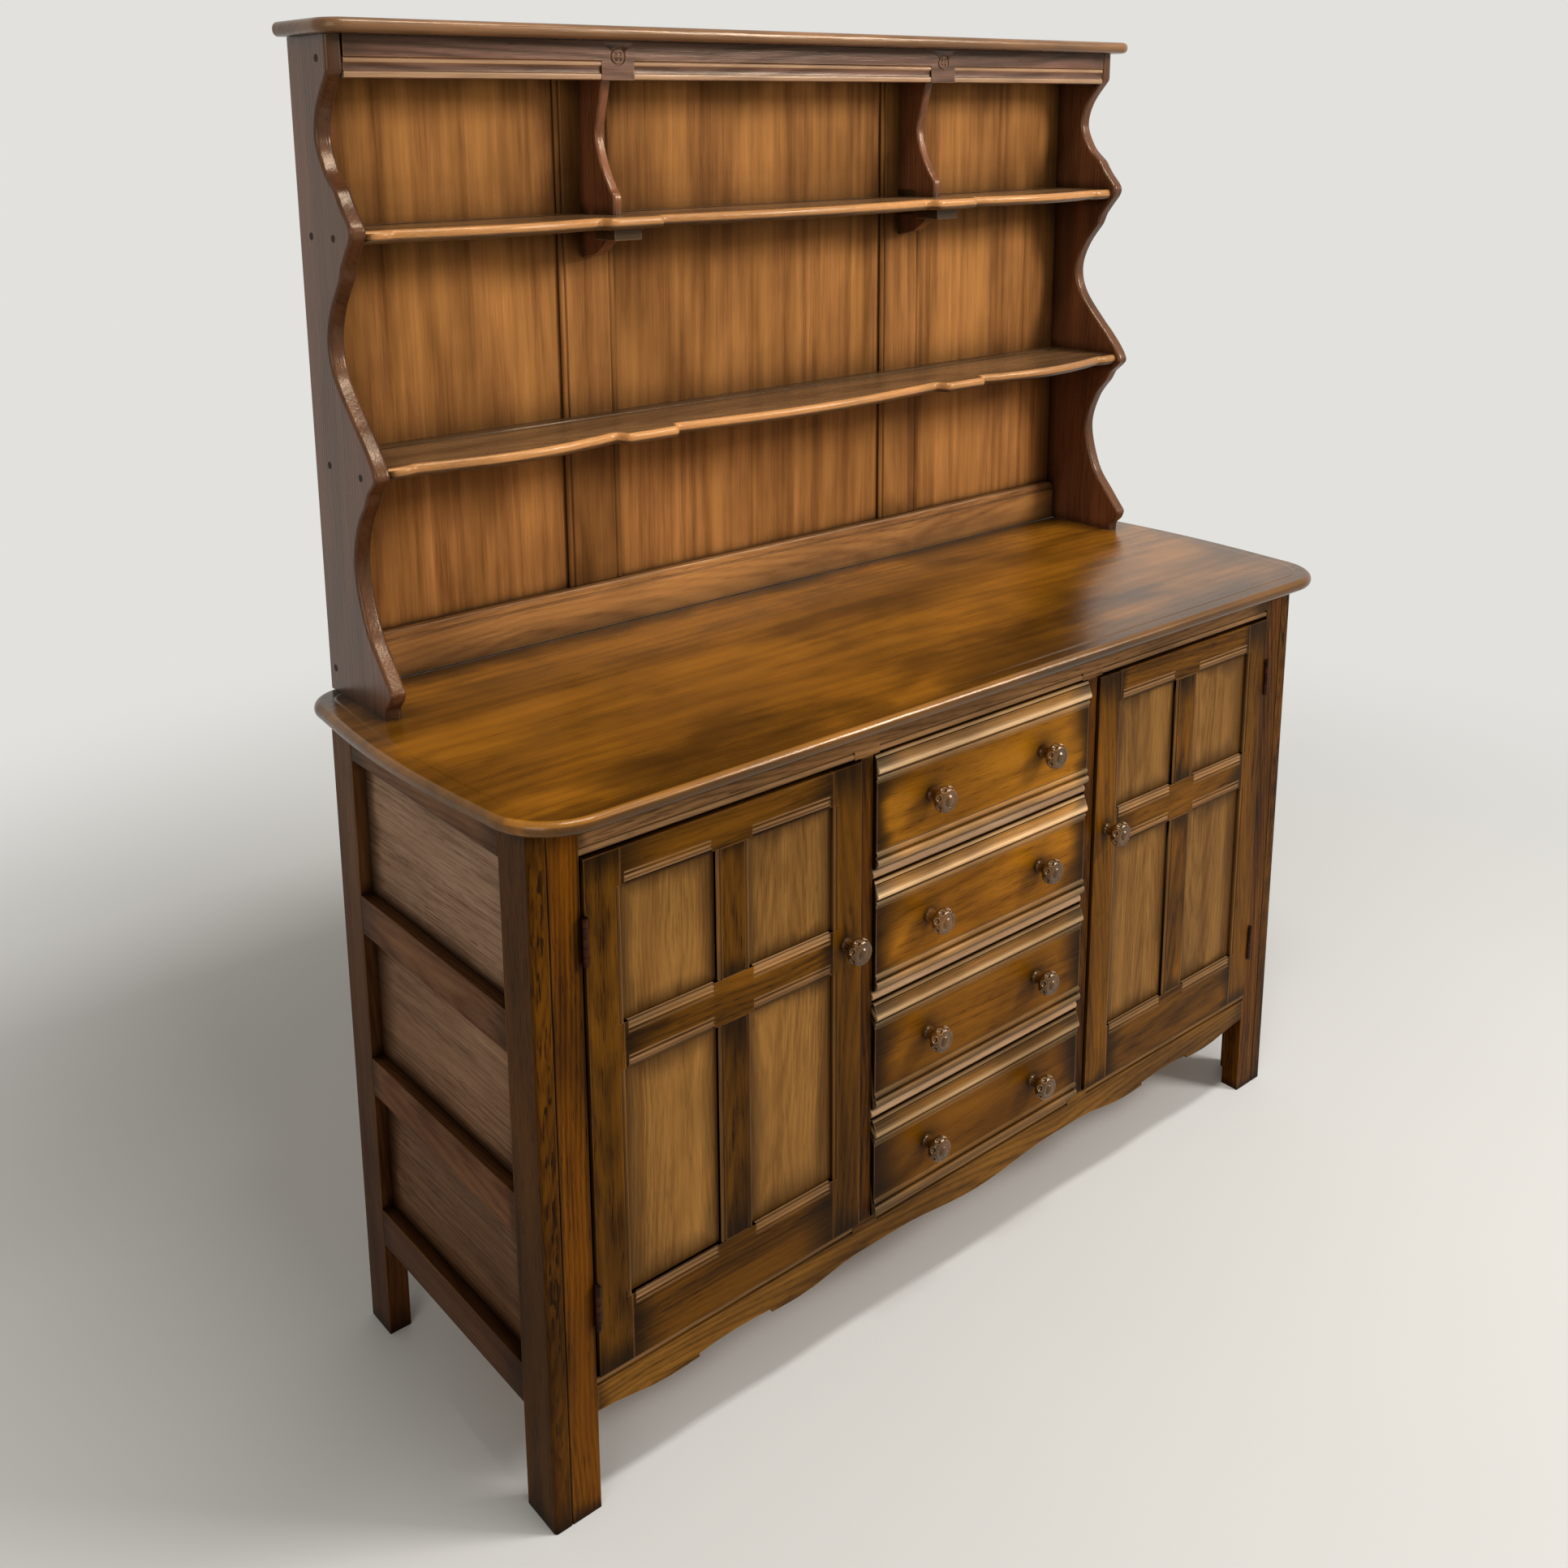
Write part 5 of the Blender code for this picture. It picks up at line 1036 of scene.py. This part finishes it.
def makeGallerySide(label, side, size, edge):
    def run(*names):
        found = []
        for name, band in names:
            high, low = edge["levels"][band:band + 2]
            found += [(depth, high + (low - high) * share) for depth, share in edge[name]]
        return found

    line = list(edge["top"])
    for points in (
            run(("upperHollow", 0)), run(("upperNose", 0), ("underUpperNose", 1)), run(("middleHollow", 1)),
            run(("lowerNose", 1), ("underLowerNose", 2)), run(("lowerHollow", 2))):
        line += curveThrough(points, 6)
    line = softened(line + run(("foot", 3)), 0.0015, 7)
    front = [(size["rear"] - depth, z) for depth, z in line]
    start = size["width"] / 2 - size["side"] if side > 0 else -size["width"] / 2
    node = "gallery_side_" + label
    low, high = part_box(node)
    obj = cutOut("gallerySide_" + label, closeAtRear(front, size["rear"] + spare), "X", start, size["side"],
                 size["edgeRound"], 4)
    keepBetween(obj, "Z", low.z, high.z)
    keepBetween(obj, "Y", None, high.y)
    smoothOver(obj, 45)
    middle = start + size["side"] / 2
    flat = size["side"] / 2 - skin

    def onEdge(point):
        return abs(point.x - middle) < flat and point.y < high.y - size["rearStrip"]

    # Along the edge, the tone paints shade and the wear paints a faint highlight.
    dress(obj, "case", "galleryElm", "Z", node,
          wear=lambda point: 1.0 if onEdge(point) else 0.0,
          tone=lambda point: size["edgeTone"] if onEdge(point) else 1.0)


def plugSide(label, side, size):
    face = side * gallery["width"] / 2
    for number, (y, z) in enumerate(size["places"]):
        obj = addPin(f"peg_{label}_{number}", (face, y, z), size["radius"], size["proud"] * 2, "X", 24,
                     size["ease"])
        dress(obj, "case", "plugElm", "X")


for label, side in sides:
    makeGallerySide(label, side, gallery, sideEdge)
    plugSide(label, side, plugs)


# Shelves, with a groove near the back to stand plates in

shelf = {
    "reach": 0.6352, "thickness": 0.0155, "edgeRound": 0.0066, "divider": 0.280, "tab": 0.078,
    "endTab": 0.029, "tabProud": 0.013, "step": 0.018, "stepRun": 0.006, "bow": 0.021,
    "groove": 0.007, "grooveDeep": 0.002, "grooveFromBack": 0.026, "grooveEnd": 0.03,
    "notchHalf": 0.0423, "notchY": 0.2392, "halvingHalf": 0.0073, "halvingY": (0.2052, 0.25),
    "wornFrom": 0.40, "wornY": 0.19,
}


def shelfFront(size, endDepth):
    # A tab under each divider and a bow between the tabs.
    reach = size["reach"]
    divider = size["divider"]
    halfTab = size["tab"] / 2
    tabDepth = endDepth + size["tabProud"]
    bays = (
        (-reach + size["endTab"], -divider - halfTab, endDepth, tabDepth),
        (-divider + halfTab, divider - halfTab, tabDepth, tabDepth),
        (divider + halfTab, reach - size["endTab"], tabDepth, endDepth),
    )
    edge = [(-reach - spare, endDepth)]
    for start, end, before, after in bays:
        first = min(before, tabDepth - size["step"])
        last = min(after, tabDepth - size["step"])
        edge.append((start, before))
        for i in range(17):
            share = i / 16
            x = start + size["stepRun"] + (end - start - 2 * size["stepRun"]) * share
            edge.append((x, first + (last - first) * share + size["bow"] * math.sin(math.pi * share)))
        edge.append((end, after))
    edge.append((reach + spare, endDepth))
    return softened(edge, 0.003, 5)


def makeShelf(name, node, endDepth, size):
    low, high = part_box(node)
    reach = size["reach"]
    front = [(x, gallery["rear"] - depth) for x, depth in shelfFront(size, endDepth)]
    back = high.y + spare
    outline = front + [(reach + spare, back), (-reach - spare, back)]
    obj = cutOut(name, outline, "Z", low.z, size["thickness"], size["edgeRound"], 4)
    keepBetween(obj, "X", -reach, reach)
    keepBetween(obj, "Y", None, high.y)

    def cut(middle, half, start, end, bottom=low.z - spare):
        cutter = addBoard("cutter", (middle - half, start, bottom), (middle + half, end, high.z + spare), 0)
        carve(obj, cutter)

    for side in (-1, 1):
        cut(side * size["divider"], size["notchHalf"], size["notchY"], back)
        if node == "shelf_upper":
            cut(side * size["divider"], size["halvingHalf"], *size["halvingY"])
    y = size["notchY"] - size["grooveFromBack"]
    cut(0, reach - size["grooveEnd"], y, y + size["groove"], high.z - size["grooveDeep"])
    smoothOver(obj, 40)
    # The upper part of the front edge is painted pale: wear, and a painted highlight where it faces the
    # light.
    crest = low.z + size["wornFrom"] * size["thickness"]
    dress(obj, "case", "shelfElm", "X", node, tilt=0.3,
          wear=lambda point: 1.0 if crest < point.z < high.z - skin and point.y < size["wornY"] else 0.0)


makeShelf("shelfUpper", "shelf_upper", 0.1174, shelf)
makeShelf("shelfLower", "shelf_lower", 0.1399, shelf)


# Dividers, cornice, frieze and back

divider = {
    "thickness": 0.014, "round": 0.0036, "muntinY": 0.2395, "play": 0.0003, "halving": 0.034, "tone": 1.4,
    # Depth of the front edge, and how far down from the frieze to the shelf
    "front": ((0.055, -0.10), (0.055, 0.0), (0.043, 0.26), (0.038, 0.42), (0.048, 0.62), (0.065, 0.80),
              (0.073, 0.86), (0.073, 1.0), (0.073, 1.1)),
    # The tail under the shelf, as shares of its depth and drop
    "tailDepth": 0.064, "tailDrop": 0.040, "tail": ((1.0, 0.0), (0.86, 0.45), (0.50, 0.85)),
    "blockWidth": 0.041, "blockHeight": 0.0145, "blockDepth": 0.094, "blockBack": 0.0512, "blockEase": 0.0015,
}


def makeDivider(label, side, size):
    node = "divider_" + label
    middle = side * shelf["divider"]
    thickness = size["thickness"]
    left, right = middle - thickness / 2, middle + thickness / 2
    muntin = size["muntinY"]
    play = size["play"]
    rear = muntin - play
    shelfLow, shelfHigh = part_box("shelf_upper")
    friezeLow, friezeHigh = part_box("frieze")
    top, bottom, neck = shelfHigh.z + play, shelfLow.z - play, friezeLow.z - play
    front = curveThrough([(muntin - depth, neck + (top - neck) * share) for depth, share in size["front"]], 5)
    outline = closeAtRear(softened(front, 0.002, 3), rear + 2 * spare)
    upper = cutOut("dividerUpper", outline, "X", left, thickness, size["round"], 4)
    keepBetween(upper, "Z", top, neck)
    keepBetween(upper, "Y", None, rear)
    overlap = hair / 2
    web = addBoard("dividerTop", (left, friezeHigh.y + play, neck - overlap), (right, rear, friezeHigh.z), 0)
    halved = addBoard("dividerHalving", (left, muntin - size["halving"], bottom - overlap),
                      (right, rear, top + overlap), 0)
    deep, drop = size["tailDepth"], size["tailDrop"]
    tail = [(muntin - deep * out, bottom - drop * down) for out, down in size["tail"]]
    tail = curveThrough(tail + [(rear, bottom - drop)], 6)
    lower = cutOut("dividerTail", tail + [(rear, bottom)], "X", left, thickness)
    obj = joinAll(f"divider_{label}_board", [upper, web, halved, lower])
    smoothOver(obj, 40)
    dress(obj, "case", "galleryElm", "Z", node, tone=size["tone"])
    half = size["blockWidth"] / 2
    block = addBoard(f"divider_{label}_block",
                     (middle - half, muntin - size["blockDepth"], bottom - size["blockHeight"]),
                     (middle + half, muntin - size["blockBack"], bottom), size["blockEase"], 3)
    dress(block, "case", "shelfElm", "X", node)


for label, side in sides:
    makeDivider(label, side, divider)

cornice = {"radius": 0.030, "round": 0.0070, "wornY": 0.2}


def makeCornice(size):
    low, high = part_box("cornice")
    radius = size["radius"]
    outline = [(high.x, high.y + spare), (low.x, high.y + spare)]
    outline += quarterRound(low.x + radius, low.y + radius, radius, 180, 16)
    outline += quarterRound(high.x - radius, low.y + radius, radius, 270, 16)
    obj = cutOut("corniceBoard", outline, "Z", low.z, high.z - low.z, size["round"], 5)
    keepBetween(obj, "Y", None, high.y)
    smoothOver(obj, 45)
    # The front edge is painted pale as wear and as a painted highlight.
    bottom, top = low.z + skin, high.z - skin
    dress(obj, "case", "corniceElm", "X", "cornice", tilt=0.3,
          wear=lambda point: 1.0 if bottom < point.z < top and point.y < size["wornY"] else 0.0)


makeCornice(cornice)

# A plain block over each divider carries the motif, and the beads are rubbed and painted with highlight at
# some heights
frieze = {"blocks": (0.2550, 0.3050), "beads": ((0.0008, 0.0072), (0.0168, 0.0212)), "behind": 0.0012}
motif = {"radius": 0.0100, "groove": 0.0016, "up": 0.0275, "petal": 0.0038, "petalReach": 0.0046,
         "deep": 0.0014}


def carveMotif(obj, low, size):
    # A small ring with four petals, punched over each divider.
    for side in (-1, 1):
        x, z = side * shelf["divider"], low.z + size["up"]
        deselectAll()
        bpy.ops.mesh.primitive_torus_add(
            major_radius=size["radius"], minor_radius=size["groove"], major_segments=48, minor_segments=10,
            location=(x, low.y, z), rotation=(math.pi / 2, 0, 0))
        carve(obj, bpy.context.object)
        for i in range(4):
            angle = math.pi / 4 + math.pi / 2 * i
            place = (x + size["petalReach"] * math.cos(angle), low.y - size["petal"] + size["deep"],
                     z + size["petalReach"] * math.sin(angle))
            deselectAll()
            bpy.ops.mesh.primitive_uv_sphere_add(segments=20, ring_count=12, radius=size["petal"],
                                                 location=place)
            carve(obj, bpy.context.object)
    smoothOver(obj, 40)


def makeFrieze(size):
    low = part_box("frieze")[0]
    obj = copyNode("friezeBoard", "frieze")
    carveMotif(obj, low, motif)
    scoreAt(obj, size["blocks"])

    def wear(point):
        crest = any(start < point.z - low.z < end for start, end in size["beads"])
        return 1.0 if crest and offBlocks(point, size["blocks"]) and point.y < low.y + size["behind"] else 0.0

    dress(obj, "case", "friezeElm", "X", "frieze", wear=wear)


makeFrieze(frieze)

backBoards = {"joint": 0.0001, "ease": 0.0004, "margin": 0.02}


def makeGalleryBack(size):
    low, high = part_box("gallery_back")
    joint = size["joint"]
    seams = (low.x, -shelf["divider"], shelf["divider"], high.x)
    for number, (left, right) in enumerate(zip(seams, seams[1:])):
        obj = addBoard(f"backBoard_{number}", (left + joint, low.y, low.z), (right - joint, high.y, high.z),
                       size["ease"])
        dress(obj, "case", "backingElm", "Z", "gallery_back", margin=size["margin"])
    for label, _ in sides:
        node = "gallery_muntin_" + label
        dress(copyNode("galleryMuntin_" + label, node), "case", "backingElm", "Z", node)
    dress(copyNode("upstandBoard", "upstand"), "case", "upstandElm", "X", "upstand")


makeGalleryBack(backBoards)
pinBoard("galleryPins", "gallery_back", rearPins)
print("gallery made")


# Floor, light and camera

studio = {
    "floor": (214, 211, 205), "backdrop": (226, 225, 221), "worldLight": 0.40, "fade": (1.0, 2.8),
    "lamps": {
        "key": {"place": (2.3, -2.5, 2.7), "size": (1.0, 1.0), "power": 105.0, "target": (0.1, 0.0, 0.8)},
        "top": {"place": (0.0, -0.9, 3.3), "size": (1.6, 0.3), "power": 48.0, "target": (0.0, 0.0, 0.8)},
        "fill": {"place": (-3.0, -1.6, 1.8), "size": (1.6, 1.6), "power": 22.0, "target": (-0.4, 0.0, 0.8)},
    },
}
cameraAt = {
    "place": (-1.4203, -1.4811, 1.51896), "yaw": 39.44853, "pitch": -12.60604, "roll": -0.52289,
    "lens": 36.8383, "shift": (0.017887, -0.197527),
}


def seenDirectly(add, calc):
    # 1 for what the camera sees itself or in a shine, and 0 for light that only falls on other things.
    rays = add("LightPath").outputs
    seen = calc("MAXIMUM", rays["Is Camera Ray"], rays["Is Glossy Ray"])
    return calc("MAXIMUM", seen, rays["Is Transmission Ray"])


def layFloor(size):
    deselectAll()
    bpy.ops.mesh.primitive_plane_add(size=40, location=(0, 0, 0))
    floor = bpy.context.object
    floor.name = "studioFloor"
    material, shader, (feed, add, calc, spread, blend, noise, read) = newFinish("paleFloor")
    place = add("TexCoord").outputs["Object"]
    cloud = noise(place, 1.4, 1.4, 3.0)
    colour = blend(cloud, tint(*size["floor"]), tint(*(v - 5 for v in size["floor"])))
    feed(shader, {"Base Color": colour, "Roughness": 0.7})
    # Far from the dresser the floor runs into the backdrop
    far = add("VectorMath", {0: place}, operation="LENGTH").outputs["Value"]
    far = calc("MULTIPLY", spread(far, *size["fade"], smooth=True), seenDirectly(add, calc))
    glow = add("Emission", {"Color": tint(*size["backdrop"])}).outputs[0]
    mixed = add("MixShader", {0: far, 1: shader.outputs[0], 2: glow}).outputs[0]
    feed(material.node_tree.nodes["Material Output"], {"Surface": mixed})
    floor.data.materials.append(material)


def hangLights(size):
    world = bpy.data.worlds.new("studioWorld")
    scene.world = world
    world.use_nodes = True
    feed, add, calc, spread = nodeTools(world.node_tree)[:4]
    strength = spread(seenDirectly(add, calc), 0.0, 1.0, size["worldLight"], 1.0)
    feed(world.node_tree.nodes["Background"], {"Color": tint(*size["backdrop"]), "Strength": strength})
    for name, lamp in size["lamps"].items():
        data = bpy.data.lights.new(name + "Light", "AREA")
        data.shape = "RECTANGLE"
        data.size, data.size_y = lamp["size"]
        data.energy = lamp["power"]
        light = bpy.data.objects.new(name + "Light", data)
        light.location = lamp["place"]
        aim = Vector(lamp["target"]) - light.location
        light.rotation_euler = aim.to_track_quat("-Z", "Y").to_euler()
        scene.collection.objects.link(light)


def aimCamera(view):
    yaw, pitch, roll = (math.radians(view[key]) for key in ("yaw", "pitch", "roll"))
    forward = Vector((math.sin(yaw) * math.cos(pitch), math.cos(yaw) * math.cos(pitch), math.sin(pitch)))
    right = Vector((math.cos(yaw), -math.sin(yaw), 0.0))
    up = right.cross(forward)
    right, up = right * math.cos(roll) + up * math.sin(roll), up * math.cos(roll) - right * math.sin(roll)
    data = bpy.data.cameras.new("photoCamera")
    data.lens = view["lens"]
    data.sensor_width = 36.0
    data.shift_x, data.shift_y = view["shift"]
    camera = bpy.data.objects.new("photoCamera", data)
    rows = [(*row, place) for row, place in zip(zip(right, up, -forward), view["place"])]
    camera.matrix_world = Matrix((*rows, (0.0, 0.0, 0.0, 1.0)))
    scene.collection.objects.link(camera)
    scene.camera = camera


layFloor(studio)
hangLights(studio)
aimCamera(cameraAt)
scene.view_settings.view_transform = "Standard"
print("studio set")
